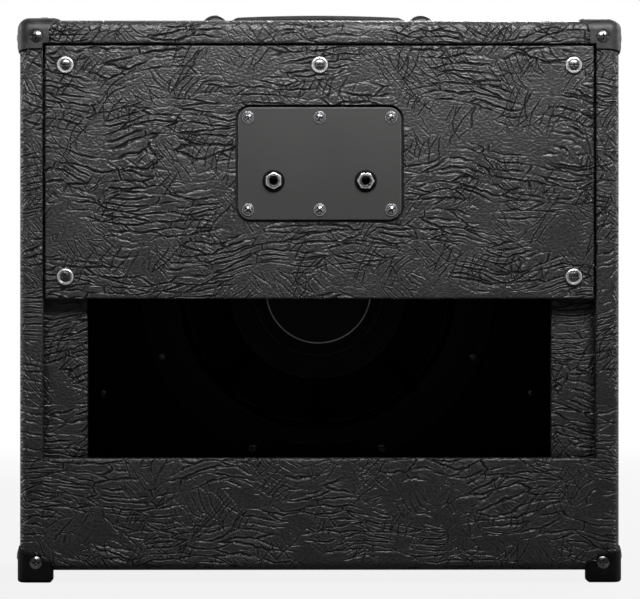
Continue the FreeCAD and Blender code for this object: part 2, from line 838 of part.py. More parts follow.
side_cleats = []
cleat_covers = []
for side in (-1, 1):
    side_cleats.append(block(side * cleat_x, side * wall_x, cleat_rear, cleat_rear + cleat_thickness,
                             floor_z, ceiling_z).cut(panel_pilots))
    rear_face = block(side * cleat_cover_x, side * wall_x, panel_inner, cleat_rear, floor_z, ceiling_z)
    inner_face = block(side * cleat_cover_x, side * cleat_x, panel_inner, cleat_rear + cleat_thickness,
                       floor_z, ceiling_z)
    cleat_covers.append(joined([rear_face, inner_face]).cut(panel_pilots))
top_cleat = block(-cleat_cover_x, cleat_cover_x, panel_inner, panel_inner + cleat_thickness,
                  ceiling_z - cleat_width, ceiling_z).cut(panel_pilots)
bottom_cleat = block(-cleat_cover_x, cleat_cover_x, panel_inner, panel_inner + cleat_thickness,
                     floor_z, floor_z + cleat_thickness)

plate_screw_x = plate_width / 2 - plate_screw_inset
plate_screw_z = plate_height / 2 - plate_screw_inset
plate_screw_points = [V(sx * plate_screw_x, plate_face, plate_z + sz * plate_screw_z)
                      for sz in (1, -1) for sx in (-1, 0, 1)]
plate_pilots = [rod(base, FRONT, plate_screw_radius + screw_clearance,
                    plate_thickness + plate_screw_depth + pilot_spare) for base in plate_screw_points]
jack_access = [rod(V(at.x, rear_plane, at.z), FRONT, jack_access_radius, reach)
               for at in jack_places.values()]
plate_pocket = plate_slab(plate_gap, rear_plane - past, pocket_floor)
panel_core = panel_blank(vinyl_thickness, panel_edge_radius - vinyl_thickness / 2, panel_inner)
panel_skin = panel_blank(0, panel_edge_radius, panel_inner).cut(panel_core)
upper_panel = panel_core.cut([plate_pocket] + jack_access + panel_clearance + plate_pilots)
panel_covering = panel_skin.cut([plate_pocket] + panel_clearance)


# Jack plate and its two open-frame quarter-inch jacks

def jack_plate():
    """Plate with bevelled rear edges, drilled for the screws and the jack bushes."""
    shape = plate_slab(0, plate_face, pocket_floor)
    face_edges = [e for e in shape.Edges if e.BoundBox.YMax < plate_face + tiny]
    shape = shape.makeChamfer(plate_edge_bevel, face_edges)
    bushes = [rod(V(at.x, rear_plane, at.z), FRONT, jack_bush_radius + screw_clearance, reach)
              for at in jack_places.values()]
    return shape.cut(bushes + plate_pilots)


def flanged_head():
    """Outline of a domed head with a flange under it."""
    seat = -plate_flange_height
    top = seat - plate_dome_height
    return [(0, 0), (plate_flange_radius, 0), (plate_flange_radius - plate_flange_bevel, seat),
            (plate_dome_radius, seat), (*crown_middle(plate_dome_radius, seat, top), 0, top)]


plate = jack_plate()
plate_screw = screw(plate_screw_radius, plate_thickness + plate_screw_depth, flanged_head())
plate_screws = [placed(plate_screw, base, FRONT, plate_screw_turn * i)
                for i, base in enumerate(plate_screw_points)]

washer_out = plate_face - jack_washer_thickness
nut_out = washer_out - jack_nut_thickness
bush_out = nut_out - jack_nose
frame_inner = pocket_floor + jack_frame_thickness
bush_in = frame_inner + jack_bush_flange
stack_y = pocket_floor + jack_stack_start
leg_end = pocket_floor + jack_leg_length


def jack_bush(at):
    """Threaded bush with a flared mouth and a flange inside the frame."""
    length = bush_in - bush_out
    collar = frame_inner - bush_out
    mouth = jack_bush_radius - jack_mouth_lip
    shape = turned([(jack_bore_radius, jack_mouth_depth), (mouth, 0), (jack_bush_radius, 0),
                    (jack_bush_radius, collar), (jack_bush_flange_radius, collar),
                    (jack_bush_flange_radius, length), (jack_bore_radius, length)])
    return placed(shape, V(at.x, bush_out, at.z), FRONT)


def jack_nut(at, turn):
    """Hexagon nut with its outer corners taken off."""
    across_corners = jack_nut_flats / math.cos(math.pi / 6) / 2
    ring = [V(across_corners * math.cos(math.radians(60 * i)),
              across_corners * math.sin(math.radians(60 * i)), 0) for i in range(7)]
    prism = Part.Face(Part.makePolygon(ring)).extrude(V(0, 0, jack_nut_thickness))
    ease = across_corners - jack_nut_flats / 2
    tapered = turned([(0, 0), (across_corners - ease, 0), (across_corners, jack_nut_taper_share * ease),
                      (across_corners, jack_nut_thickness), (0, jack_nut_thickness)])
    bore = rod(V(0, 0, -past), UP, jack_bush_radius + screw_clearance, jack_nut_thickness + 2 * past)
    return placed(prism.common(tapered).cut(bore), V(at.x, nut_out, at.z), FRONT, turn)


def jack_washer(at):
    """Black plastic washer between the nut and the plate, rounded outside."""
    inner = jack_bush_radius + screw_clearance
    lean = jack_washer_round * (1 - math.sqrt(0.5))
    shape = turned([(inner, 0), (jack_washer_radius - jack_washer_round, 0),
                    (jack_washer_radius - lean, lean, jack_washer_radius, jack_washer_round),
                    (jack_washer_radius, jack_washer_thickness), (inner, jack_washer_thickness)])
    return placed(shape, V(at.x, washer_out, at.z), FRONT)


def jack_frame(at):
    """Bent steel bracket: a base behind the plate and a leg that carries the contact stack."""
    top = at.z + jack_leg_rise + jack_frame_thickness
    base = block(at.x - jack_frame_half_width, at.x + jack_frame_half_width, pocket_floor, frame_inner,
                 at.z - jack_frame_below, top)
    leg = block(at.x - jack_leg_half_width, at.x + jack_leg_half_width, pocket_floor, leg_end,
                at.z + jack_leg_rise, top)
    hole = rod(V(at.x, pocket_floor - past, at.z), FRONT, jack_bush_radius + screw_clearance,
               jack_frame_thickness + 2 * past)
    return joined([base, leg]).cut(hole)


def jack_insulator_pair(at):
    """Two fibre blocks that clamp the contact leaf under the leg."""
    x0 = at.x - jack_leg_half_width
    x1 = at.x + jack_leg_half_width
    leaf_low = at.z + jack_leaf_rise
    leaf_high = leaf_low + jack_leaf_thickness
    y1 = stack_y + jack_stack_length
    return [block(x0, x1, stack_y, y1, leaf_high, at.z + jack_leg_rise),
            block(x0, x1, stack_y, y1, leaf_low - jack_insulator_below, leaf_low)]


def jack_lug(at):
    """Clamped root of the contact leaf, with a solder tab on either side."""
    leaf_low = at.z + jack_leaf_rise
    return block(at.x - jack_lug_reach, at.x + jack_lug_reach, stack_y, stack_y + jack_stack_length,
                 leaf_low, leaf_low + jack_leaf_thickness)


def jack_tip_spring(at):
    """Free part of the contact leaf, bent down to a nose that presses on a plug's tip."""
    root_y = stack_y - jack_leaf_gap
    line = [(root_y, at.z + jack_leaf_rise), (stack_y - jack_leaf_straight, at.z + jack_leaf_rise),
            (stack_y - jack_nose_reach, at.z + jack_nose_rise),
            (stack_y - jack_leaf_reach, at.z + jack_leaf_tip_rise)]
    edge = [V(at.x - jack_leaf_half_width, y, z) for y, z in line]
    lifted = [point + V(0, 0, jack_leaf_thickness) for point in reversed(edge)]
    face = Part.Face(Part.makePolygon(edge + lifted + edge[:1]))
    return face.extrude(V(2 * jack_leaf_half_width, 0, 0))


def jack_links():
    """Bare wires that join the two jacks' tips and their frames."""
    gap = jack_spread - jack_lug_reach
    tip_y = stack_y + jack_stack_length / 2
    tip = rod(V(-gap, tip_y, jack_z + jack_leaf_rise + jack_leaf_thickness / 2), V(1, 0, 0),
              link_wire_radius, 2 * gap)
    gap = jack_spread - jack_leg_half_width
    frame_y = leg_end - 2 * link_wire_radius
    frame = rod(V(-gap, frame_y, jack_z + jack_leg_rise + jack_frame_thickness / 2), V(1, 0, 0),
                link_wire_radius, 2 * gap)
    return [tip, frame]


jacks = jack_places.values()
jack_bushes = [jack_bush(at) for at in jacks]
jack_nuts = [jack_nut(at, jack_nut_turns[side]) for side, at in jack_places.items()]
jack_washers = [jack_washer(at) for at in jacks]
jack_frames = [jack_frame(at) for at in jacks]
jack_insulators = [piece for at in jacks for piece in jack_insulator_pair(at)]
jack_lugs = [jack_lug(at) for at in jacks]
tip_springs = {side: jack_tip_spring(at) for side, at in jack_places.items()}


# Front: baffle on battens, grille frame and cloth

bolt_angles = [math.radians(bolt_start_angle + 360 / bolt_count * i) for i in range(bolt_count)]
bolt_points = [V(bolt_circle_radius * math.sin(a), 0, speaker_z + bolt_circle_radius * math.cos(a))
               for a in bolt_angles]
bolt_barrel_radius = speaker_bolt_radius + bolt_barrel_wall
bolt_bores = [rod(V(p.x, baffle_rear - past, p.z), FRONT, bolt_barrel_radius + screw_clearance,
                  baffle_thickness + 2 * past) for p in bolt_points]
bolt_seats = [rod(V(p.x, baffle_front, p.z), REAR,
                  tee_flange_ratio * speaker_bolt_radius + screw_clearance, tee_nut_thickness)
              for p in bolt_points]

batten_x = wall_x - batten_size / 2
room_middle = (floor_z + ceiling_z) / 2
baffle_screw_points = [V(sx * batten_x, baffle_front, room_middle + step * baffle_side_screw_spread)
                       for sx in (-1, 1) for step in (-1, 0, 1)]
baffle_screw_points += [V(sx * baffle_screw_spread, baffle_front, z) for sx in (-1, 1)
                        for z in (floor_z + batten_size / 2, ceiling_z - batten_size / 2)]
# The countersunk heads slope at 45 degrees and end flush with the baffle's front.
baffle_head_depth = baffle_head_radius - baffle_screw_radius
baffle_screw = screw(baffle_screw_radius, baffle_screw_length - baffle_head_depth,
                     [(0, 0), (baffle_screw_radius, 0), (baffle_head_radius, -baffle_head_depth),
                      (0, -baffle_head_depth)])
baffle_screws = [placed(baffle_screw, p + REAR * baffle_head_depth, REAR) for p in baffle_screw_points]
sink_hole = baffle_screw_radius + screw_clearance
sink_end = baffle_screw_length + pilot_spare
sink_cone = turned([(0, 0), (baffle_head_radius + screw_clearance, 0), (sink_hole, baffle_head_depth),
                    (sink_hole, sink_end), (0, sink_end)])
baffle_screw_holes = [placed(sink_cone, p, REAR) for p in baffle_screw_points]

grille_screw_x = frame_x - grille_screw_inset
grille_screw_points = [V(sx * grille_screw_x, baffle_rear, speaker_z + sz * grille_screw_spread)
                       for sx in (-1, 1) for sz in (-1, 1)]
grille_screw = screw(grille_screw_radius, grille_screw_length,
                     dome_head(grille_head_radius, grille_head_height))
grille_screws = [placed(grille_screw, p, FRONT) for p in grille_screw_points]
grille_screw_holes = [rod(p, FRONT, grille_screw_radius + screw_clearance,
                          grille_screw_length + pilot_spare) for p in grille_screw_points]

baffle = block(-wall_x + baffle_gap, wall_x - baffle_gap, baffle_rear, baffle_front,
               floor_z + baffle_gap, ceiling_z - baffle_gap)
cutout = rod(V(0, baffle_rear - past, speaker_z), FRONT, cutout_radius, baffle_thickness + 2 * past)
baffle = baffle.cut([cutout] + bolt_bores + bolt_seats + baffle_screw_holes + grille_screw_holes)
rim_relief = rod(V(0, batten_rear - past, speaker_z), FRONT, flange_radius + rim_relief_gap,
                 batten_size + 2 * past)
batten_cuts = baffle_screw_holes + [rim_relief]
battens = [block(side * (wall_x - batten_size), side * wall_x, batten_rear, baffle_rear,
                 floor_z, ceiling_z).cut(batten_cuts) for side in (-1, 1)]
for low, high in ((floor_z, floor_z + batten_size), (ceiling_z - batten_size, ceiling_z)):
    battens.append(block(-wall_x + batten_size, wall_x - batten_size, batten_rear, baffle_rear,
                         low, high).cut(batten_cuts))


def grille_block(grow, face):
    """Grille's outer slab, grown on every side and rounded round its face."""
    shape = block(-frame_x - grow, frame_x + grow, baffle_front, face,
                  frame_bottom - grow, frame_top + grow)
    face_edges = [e for e in shape.Edges if e.BoundBox.YMin > face - tiny]
    return shape.makeFillet(grille_edge_radius + grow, face_edges)


grille_slab = grille_block(0, grille_face)
grille_opening = block(-frame_x + grille_bar_width, frame_x - grille_bar_width, -reach, reach,
                       frame_bottom + grille_bar_width, frame_top - grille_bar_width)
grille_frame = grille_slab.cut([grille_opening] + grille_screw_holes)
cloth_flat = block(-frame_x + grille_edge_radius, frame_x - grille_edge_radius, grille_face, cloth_front,
                   frame_bottom + grille_edge_radius, frame_top - grille_edge_radius)
cloth_hem = grille_block(cloth_thickness, cloth_front).cut([grille_slab, cloth_flat])


# Driver: flanged basket, magnet, moving cone and coil

def basket_rear_depth(radius):
    """Depth of the basket's conical rear face at a radius."""
    share = (shelf_inner_radius - radius) / (shelf_inner_radius - seat_radius)
    return shelf_depth + share * (seat_depth - shelf_depth)


def basket():
    """Pressed basket: flange, dished shelf, windowed cone, spider seat and magnet cup."""
    wall = basket_wall
    shape = driver_turned([
        (flange_radius, 0), (flange_radius, wall), (dish_outer_radius, wall),
        (dish_outer_radius, shelf_depth), (shelf_inner_radius, shelf_depth), (seat_radius, seat_depth),
        (cup_radius, seat_depth), (cup_radius, cup_depth), (coil_hole_radius, cup_depth),
        (coil_hole_radius, cup_depth - wall), (cup_radius - wall, cup_depth - wall),
        (cup_radius - wall, seat_depth - wall), (seat_radius - wall, seat_depth - wall),
        (shelf_inner_radius - wall, shelf_depth - wall), (dish_outer_radius - wall, shelf_depth - wall),
        (dish_outer_radius - wall, 0)])
    opening = 360 / window_count - spoke_angle
    window = turned([(window_inner_radius, shelf_depth), (window_outer_radius, shelf_depth),
                     (window_outer_radius, seat_depth), (window_inner_radius, seat_depth)], opening)
    # The first spoke stands straight up, under the terminal strip.
    first = 90 + spoke_angle / 2
    windows = [placed(window, speaker_axis, REAR, first + 360 / window_count * i)
               for i in range(window_count)]
    holes = [rod(V(p.x, flange_y + past, p.z), REAR, speaker_bolt_radius + bolt_hole_clearance,
                 wall + 2 * past) for p in bolt_points]
    return shape.cut(windows + holes)


def gasket():
    """Ring of soft board between the flange and the baffle."""
    inner = dish_outer_radius + basket_wall
    shape = driver_turned([(inner, -gasket_thickness), (flange_radius, -gasket_thickness),
                           (flange_radius, 0), (inner, 0)])
    holes = [rod(V(p.x, flange_y - past, p.z), FRONT, speaker_bolt_radius + bolt_hole_clearance,
                 gasket_thickness + 2 * past) for p in bolt_points]
    return shape.cut(holes)


bolt_length = basket_wall + gasket_thickness + baffle_thickness
speaker_bolt = screw(speaker_bolt_radius, bolt_length, dome_head(bolt_head_radius, bolt_head_height))
speaker_bolts = [placed(speaker_bolt, V(p.x, flange_y - basket_wall, p.z), FRONT) for p in bolt_points]
speaker_tee_nut = tee_nut(speaker_bolt_radius, bolt_barrel_radius)
speaker_tee_nuts = [placed(speaker_tee_nut, V(p.x, baffle_front, p.z), REAR) for p in bolt_points]

top_plate_rear = cup_depth + top_plate_thickness
magnet_rear = top_plate_rear + magnet_thickness
back_plate_rear = magnet_rear + back_plate_thickness
top_plate = driver_turned([(top_plate_hole_radius, cup_depth), (top_plate_radius, cup_depth),
                           (top_plate_radius, top_plate_rear), (top_plate_hole_radius, top_plate_rear)])
magnet = driver_turned([(magnet_hole_radius, top_plate_rear), (magnet_radius, top_plate_rear),
                        (magnet_radius, magnet_rear), (magnet_hole_radius, magnet_rear)])
back_plate = driver_turned([
    (pole_vent_radius, cup_depth), (pole_radius, cup_depth), (pole_radius, magnet_rear),
    (back_plate_radius, magnet_rear), (back_plate_radius, back_plate_rear - back_plate_bevel),
    (back_plate_radius - back_plate_bevel, back_plate_rear), (pole_vent_radius, back_plate_rear)])

winding_middle = cup_depth + top_plate_thickness / 2
winding_front = winding_middle - winding_length / 2
winding_rear = winding_middle + winding_length / 2
former_front = cone_neck_depth - former_neck_reach
former_rear = winding_rear + former_tail
voice_coil = driver_turned([
    (former_radius - former_wall, former_front), (former_radius, former_front),
    (former_radius, winding_front), (winding_radius, winding_front), (winding_radius, winding_rear),
    (former_radius, winding_rear), (former_radius, former_rear),
    (former_radius - former_wall, former_rear)])

surround_front = shelf_depth - basket_wall - surround_wall
cone_edge_depth = surround_front + surround_wall
cone_slope = (cone_neck_depth - cone_edge_depth) / (cone_outer_radius - former_radius)


def cone_rear_depth(radius):
    """Depth of the paper cone's rear face at a radius."""
    return cone_neck_depth - cone_slope * (radius - former_radius)


cone = driver_turned([
    (former_radius, cone_neck_depth), (cone_outer_radius, cone_edge_depth),
    (cone_outer_radius, cone_edge_depth - cone_wall), (former_radius, cone_neck_depth - cone_wall)])
cap_base = cone_rear_depth(dust_cap_radius) - cone_wall
cap_crown = cap_base - dust_cap_height
cap_inner_radius = dust_cap_radius - 2 * dust_cap_wall
cap_inner_crown = cap_crown + dust_cap_wall
cap_inner_middle = crown_middle(cap_inner_radius, cap_base, cap_inner_crown)
dust_cap = driver_turned([
    (dust_cap_radius, cap_base),
    (*crown_middle(dust_cap_radius, cap_base, cap_crown), 0, cap_crown),
    (0, cap_inner_crown),
    (*cap_inner_middle, cap_inner_radius, cap_base)])


def rolled(start, end, rolls, height, depth, wall, before, after):
    """Ring of shallow rolls with a flat lip before and after them, as an outline."""
    step = (end - start) / (2 * rolls)
    near = [(before, depth), (start, depth)]
    far = []
    for i in range(2 * rolls):
        swing = -height if i % 2 else height
        middle = start + (i + 0.5) * step
        stop = start + (i + 1) * step
        near.append((middle, depth + swing, stop, depth))
        far.append((middle, depth + swing + wall, start + i * step, depth + wall))
    return near + [(after, depth), (after, depth + wall), (end, depth + wall)] + far[::-1] + [
        (before, depth + wall)]


spider_front = seat_depth - basket_wall - spider_wall
spider_roll_start = former_radius + spider_neck_width
spider_roll_end = cup_radius - basket_wall - spider_lip_gap
spider = driver_turned(rolled(
    spider_roll_start, spider_roll_end, spider_rolls, spider_roll_height, spider_front, spider_wall,
    former_radius + moving_gap, seat_radius - 2 * basket_wall))
surround_start = cone_outer_radius + moving_gap
surround_lip = shelf_inner_radius - 2 * basket_wall
surround = driver_turned(rolled(
    surround_start, surround_lip, surround_rolls, surround_roll_height, surround_front,
    surround_wall, surround_start, dish_outer_radius - surround_rim_inset))


def strip_outline(thickness):
    """Section of a band that lies on the basket's conical rear face."""
    slope = V(seat_radius - shelf_inner_radius, 0, seat_depth - shelf_depth).normalize()
    off = V(slope.z, 0, -slope.x) * thickness
    inner = V(strip_inner_radius, 0, basket_rear_depth(strip_inner_radius))
    outer = V(strip_outer_radius, 0, basket_rear_depth(strip_outer_radius))
    return [(p.x, p.z) for p in (inner, outer, outer + off, inner + off)]


blade_end_depth = basket_rear_depth(blade_middle) + blade_reach
strip_zone = block(-strip_half_width, strip_half_width, -reach, reach, speaker_z, body_top)
terminal_strip = driver_turned(strip_outline(strip_thickness)).common(strip_zone)


def terminal_blade(side):
    """Tinned blade that stands on the terminal strip."""
    inner, outer, outer_off, inner_off = strip_outline(strip_thickness)
    rise = (outer_off[1] - inner_off[1]) / (outer_off[0] - inner_off[0])
    low = blade_inner_radius
    high = blade_inner_radius + blade_width
    corners_at = [(low, inner_off[1] + rise * (low - inner_off[0])),
                  (high, inner_off[1] + rise * (high - inner_off[0])),
                  (high, blade_end_depth), (low, blade_end_depth)]
    ring = [V(side * blade_spread - blade_thickness / 2, flange_y - depth, speaker_z + radius)
            for radius, depth in corners_at]
    return Part.Face(Part.makePolygon(ring + ring[:1])).extrude(V(blade_thickness, 0, 0))


terminal_blades = [terminal_blade(side) for side in (-1, 1)]


# Wiring: flexible leads to the cone, leads from the jacks along the ceiling to the terminal strip

def flexible_lead(side):
    """Slack braided lead from a blade, through the basket's window, to the back of the cone."""
    start = side * (blade_spread + blade_thickness / 2)
    across = side * flexible_lead_window
    outside = (window_inner_radius + 2 * strip_inner_radius) / 3
    inside = window_inner_radius - basket_wall
    depth = basket_rear_depth(window_inner_radius) - 5 * basket_wall
    bow_radius = (inside + flexible_end_radius) / 2
    end_depth = cone_rear_depth(math.hypot(flexible_lead_end, flexible_end_radius)) + 2 * flexible_lead_radius
    clip_depth = blade_end_depth - flexible_lead_rise
    route = [(start, blade_middle, clip_depth),
             (start + side * flexible_lead_out, blade_middle, clip_depth),
             (across, outside, depth), (across, inside, depth),
             (side * flexible_lead_bow, bow_radius, (depth + end_depth) / 2 + flexible_lead_rise),
             (side * flexible_lead_end, flexible_end_radius, end_depth)]
    points = [V(x, flange_y - depth, speaker_z + radius) for x, radius, depth in route]
    return tube("flexible lead", points, flexible_lead_radius)


def speaker_lead(side, start):
    """Insulated lead from a jack, up to the ceiling, along it under the saddles, down to its blade."""
    run_z = ceiling_z - lead_ceiling_gap - lead_radius
    run_x = side * lead_spread
    blade_z = speaker_z + blade_middle
    blade_x = side * blade_spread
    ceiling = [V(run_x, rise_end_y + share * run_length, run_z) for share in lead_run_shares]
    drop = [V(side * 3, blade_y - 24, run_z - 9), V(side * 5, blade_y - 18, run_z - 30),
            V(side * 7, blade_y - lead_drop_reach - 1, run_z - 56),
            V(blade_x, blade_y - lead_drop_reach, run_z - 80),
            V(blade_x, blade_y - 14, blade_z), V(blade_x, blade_y, blade_z)]
    return tube("speaker lead", start + ceiling + drop, lead_radius)


def saddle(y):
    """Plastic saddle that holds both leads against the ceiling."""
    half = lead_spread + lead_radius + saddle_clearance
    deep = 2 * lead_radius + lead_ceiling_gap + saddle_clearance
    body = block(-saddle_half_width, saddle_half_width, y - saddle_length / 2, y + saddle_length / 2,
                 ceiling_z - deep - saddle_wall, ceiling_z)
    return body.cut(block(-half, half, y - saddle_length, y + saddle_length, ceiling_z - deep, ceiling_z))


blade_y = flange_y - blade_end_depth
rise_end_y = leg_end + lead_rise_reach
run_length = blade_y - lead_drop_reach - rise_end_y
saddle_places = [rise_end_y + share * run_length for share in saddle_shares]
hot_start = V(jack_spread + jack_lug_reach, stack_y + jack_stack_length / 2,
              jack_z + jack_leaf_rise + jack_leaf_thickness / 2)
return_start = V(jack_spread, leg_end, jack_z + jack_leg_rise + jack_frame_thickness / 2)
hot_rise = [hot_start, hot_start + V(8, 0, 0), hot_start + V(15, 5, 13), hot_start + V(11, 11, 36),
            hot_start + V(-5, 17, 62), hot_start + V(-27, 22, 84), hot_start + V(-42, 29, 97)]
return_rise = [return_start, return_start + V(0, 8, 0), return_start + V(-2, 15, 13),
               return_start + V(-9, 18, 34), return_start + V(-20, 19, 58),
               return_start + V(-31, 23, 80), return_start + V(-38, lead_rise_reach, 93)]
speaker_leads = [speaker_lead(1, hot_rise), speaker_lead(-1, return_rise)]
flexible_leads = [flexible_lead(side) for side in (-1, 1)]
saddles = [saddle(y) for y in saddle_places]


pieces = {
    "top_board": top_board.cut(box_holes),
    "bottom_board": bottom_board.cut(box_holes),
    "left_side_board": side_boards[-1].cut(box_holes),
    "right_side_board": side_boards[1].cut(box_holes),
    "lower_back_panel": lower_back_panel,
    "vinyl_covering": vinyl.cut(box_holes),
    "rear_side_cleats": group(side_cleats),
    "rear_top_cleat": top_cleat,
    "rear_bottom_cleat": bottom_cleat,
    "cleat_coverings": group(cleat_covers),
    "upper_back_panel": upper_panel,
    "back_panel_covering": panel_covering,
    "back_panel_screws": group(panel_screws),
    "back_panel_cup_washers": group(cup_washers),
    "front_battens": group(battens),
    "baffle_board": baffle,
    "baffle_screws": group(baffle_screws),
    "grille_frame": grille_frame,
    "grille_cloth": cloth_flat,
    "grille_cloth_hem": cloth_hem,
    "grille_screws": group(grille_screws),
    "corner_caps_top": group(corner_caps),
    "corner_feet_bottom": group(corner_feet),
    "corner_screws": group(corner_screws),
    "handle_cap_left": handle_cap(-1),
    "handle_cap_right": handle_cap(1),
    "handle_grip": handle_grip(),
    "handle_tail_left": handle_tail(-1),
    "handle_tail_right": handle_tail(1),
    "handle_bolts": group(handle_bolts),
    "handle_tee_nuts": group(handle_tee_nuts),
    "jack_plate": plate,
    "jack_plate_screws": group(plate_screws),
    "jack_bushes": group(jack_bushes),
    "jack_nuts": group(jack_nuts),
    "jack_washers": group(jack_washers),
    "jack_frames": group(jack_frames),
    "jack_insulators": group(jack_insulators),
    "jack_lugs": group(jack_lugs),
    "jack_tip_spring_left": tip_springs[-1],
    "jack_tip_spring_right": tip_springs[1],
    "jack_link_wires": group(jack_links()),
    "speaker_basket": basket(),
    "speaker_gasket": gasket(),
    "speaker_bolts": group(speaker_bolts),
    "speaker_tee_nuts": group(speaker_tee_nuts),
    "speaker_top_plate": top_plate,
    "speaker_magnet": magnet,
    "speaker_back_plate": back_plate,
    "speaker_voice_coil": voice_coil,
    "speaker_cone": cone,
    "speaker_dust_cap": dust_cap,
    "speaker_spider": spider,
    "speaker_surround": surround,
    "terminal_strip": terminal_strip,
    "terminal_blades": group(terminal_blades),
    "flexible_leads": group(flexible_leads),
    "speaker_leads": group(speaker_leads),
    "lead_saddles": group(saddles),
}

os.makedirs("parts", exist_ok=True)
for name, shape in pieces.items():
    solids = shape.Solids
    print(name, len(solids), "valid" if shape.isValid() else "NOT VALID", round(shape.Volume, 1))
    shape.exportStep(f"parts/{name}.step")
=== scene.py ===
"""Looks of an open-back guitar speaker cabinet with one 12-inch driver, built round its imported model.

Metres, +Z up. The open back with the jack plate faces -Y, where the photograph was taken from.
"""
import bmesh
import bpy
import math
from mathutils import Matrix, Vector


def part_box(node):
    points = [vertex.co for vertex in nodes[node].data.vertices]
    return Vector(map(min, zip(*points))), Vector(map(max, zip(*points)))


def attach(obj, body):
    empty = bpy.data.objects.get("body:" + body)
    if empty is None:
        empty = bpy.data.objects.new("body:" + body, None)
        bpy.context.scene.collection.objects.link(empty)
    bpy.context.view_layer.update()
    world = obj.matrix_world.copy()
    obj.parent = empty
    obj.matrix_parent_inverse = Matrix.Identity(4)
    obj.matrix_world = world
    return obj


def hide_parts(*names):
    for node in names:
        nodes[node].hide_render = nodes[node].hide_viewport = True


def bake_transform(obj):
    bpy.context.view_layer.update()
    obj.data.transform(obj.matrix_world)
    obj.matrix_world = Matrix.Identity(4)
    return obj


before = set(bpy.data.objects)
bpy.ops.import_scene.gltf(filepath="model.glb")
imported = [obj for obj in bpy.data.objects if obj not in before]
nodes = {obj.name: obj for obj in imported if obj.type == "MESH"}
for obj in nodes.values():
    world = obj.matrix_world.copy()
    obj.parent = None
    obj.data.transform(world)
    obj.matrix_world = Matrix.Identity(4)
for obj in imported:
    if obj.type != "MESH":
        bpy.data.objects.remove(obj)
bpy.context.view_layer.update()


# Box: plywood boards, finger-jointed at the corners and brushed black before the covering goes on.
# Their inner faces show a little through the open back, with the cleats and panels of the same board.

def shade(tree, kind, inputs=None, **settings):
    """Adds a shader node whose inputs, by name or number, take a value or another node's output."""
    node = tree.nodes.new("ShaderNode" + kind)
    for name, value in settings.items():
        setattr(node, name, value)
    for name, value in (inputs or {}).items():
        if isinstance(value, bpy.types.NodeSocket):
            tree.links.new(value, node.inputs[name])
        else:
            node.inputs[name].default_value = value
    return node


def maths(tree, operation, *values):
    """Adds a Math node on values or outputs and returns its output."""
    return shade(tree, "Math", dict(enumerate(values)), operation=operation).outputs[0]


def vectors(tree, operation, *values):
    """Adds a Vector Math node on values or outputs and returns its vector."""
    return shade(tree, "VectorMath", dict(enumerate(values)), operation=operation).outputs["Vector"]


def eased(tree, value, low, high, start=0.0, end=1.0):
    """Leads a value smoothly from start to end while it goes from low to high."""
    limits = {"Value": value, "From Min": low, "From Max": high, "To Min": start, "To Max": end}
    return shade(tree, "MapRange", limits, interpolation_type="SMOOTHSTEP").outputs["Result"]


def mixed(tree, share, first, second):
    """Mixes two colours by a share."""
    return shade(tree, "Mix", {0: share, 6: first, 7: second}, data_type="RGBA").outputs[2]


def effect(name, inputs, outputs):
    """Starts a node group; returns its tree, its inputs' sockets and its outputs' sockets by name."""
    tree = bpy.data.node_groups.new(name, "ShaderNodeTree")
    kinds = {float: "NodeSocketFloat", tuple: "NodeSocketVector"}
    for socket, value in inputs.items():
        made = tree.interface.new_socket(socket, in_out="INPUT", socket_type=kinds[type(value)])
        made.default_value = value
    for socket, kind in outputs.items():
        tree.interface.new_socket(socket, in_out="OUTPUT", socket_type=kind)
    return tree, tree.nodes.new("NodeGroupInput").outputs, tree.nodes.new("NodeGroupOutput").inputs


def mottle_effect():
    """Broad patches and fine specks of any size, drawn out along an axis where a finish has a grain."""
    tree, given, gives = effect(
        "mottle", {"Broad Size": 0.05, "Fine Size": 0.001, "Squeeze": (1.0, 1.0, 1.0)},
        {"Broad": "NodeSocketFloat", "Fine": "NodeSocketFloat"})
    place = vectors(tree, "MULTIPLY", shade(tree, "TexCoord").outputs["Object"], given["Squeeze"])
    for name in ("Broad", "Fine"):
        scale = maths(tree, "DIVIDE", 1.0, given[name + " Size"])
        noise = shade(tree, "TexNoise", {"Vector": place, "Scale": scale, "Detail": 3.0})
        tree.links.new(noise.outputs["Fac"], gives[name])
    return tree


def surface(name, **sockets):
    """New material, its tree and its shader, with the sockets that stay the same all over set here."""
    material = bpy.data.materials.new(name)
    material.use_nodes = True
    shader = material.node_tree.nodes["Principled BSDF"]
    for socket, value in sockets.items():
        shader.inputs[socket.replace("_", " ")].default_value = value
    return material, material.node_tree, shader


def feed(tree, shader, **outputs):
    """Links outputs to a shader's sockets."""
    for socket, value in outputs.items():
        tree.links.new(value, shader.inputs[socket.replace("_", " ")])


def bumped(tree, height, depth, normal=None):
    """Normal of a relief whose height of 1 stands for a depth in metres."""
    inputs = {"Height": height, "Distance": depth, "Strength": 1.0}
    if normal is not None:
        inputs["Normal"] = normal
    return shade(tree, "Bump", inputs).outputs["Normal"]


def dress(material, *names):
    """Gives CAD nodes a finish."""
    for name in names:
        mesh = nodes[name].data
        mesh.materials.clear()
        mesh.materials.append(material)


def black_board(name, dark, light, streak):
    """Brushed black paint on board, with the strokes drawn out along X or Z."""
    material, tree, shader = surface(name, Specular_IOR_Level=0.2)
    grain = shade(tree, "Group", {"Broad Size": 0.09, "Fine Size": 0.004, "Squeeze": streak},
                  node_tree=mottle)
    share = maths(tree, "MULTIPLY", grain.outputs["Broad"], grain.outputs["Fine"])
    feed(tree, shader, Base_Color=mixed(tree, eased(tree, share, 0.1, 0.5), dark, light),
         Roughness=eased(tree, grain.outputs["Fine"], 0.3, 0.7, 0.6, 0.85),
         Normal=bumped(tree, grain.outputs["Fine"], 0.0003))
    return material


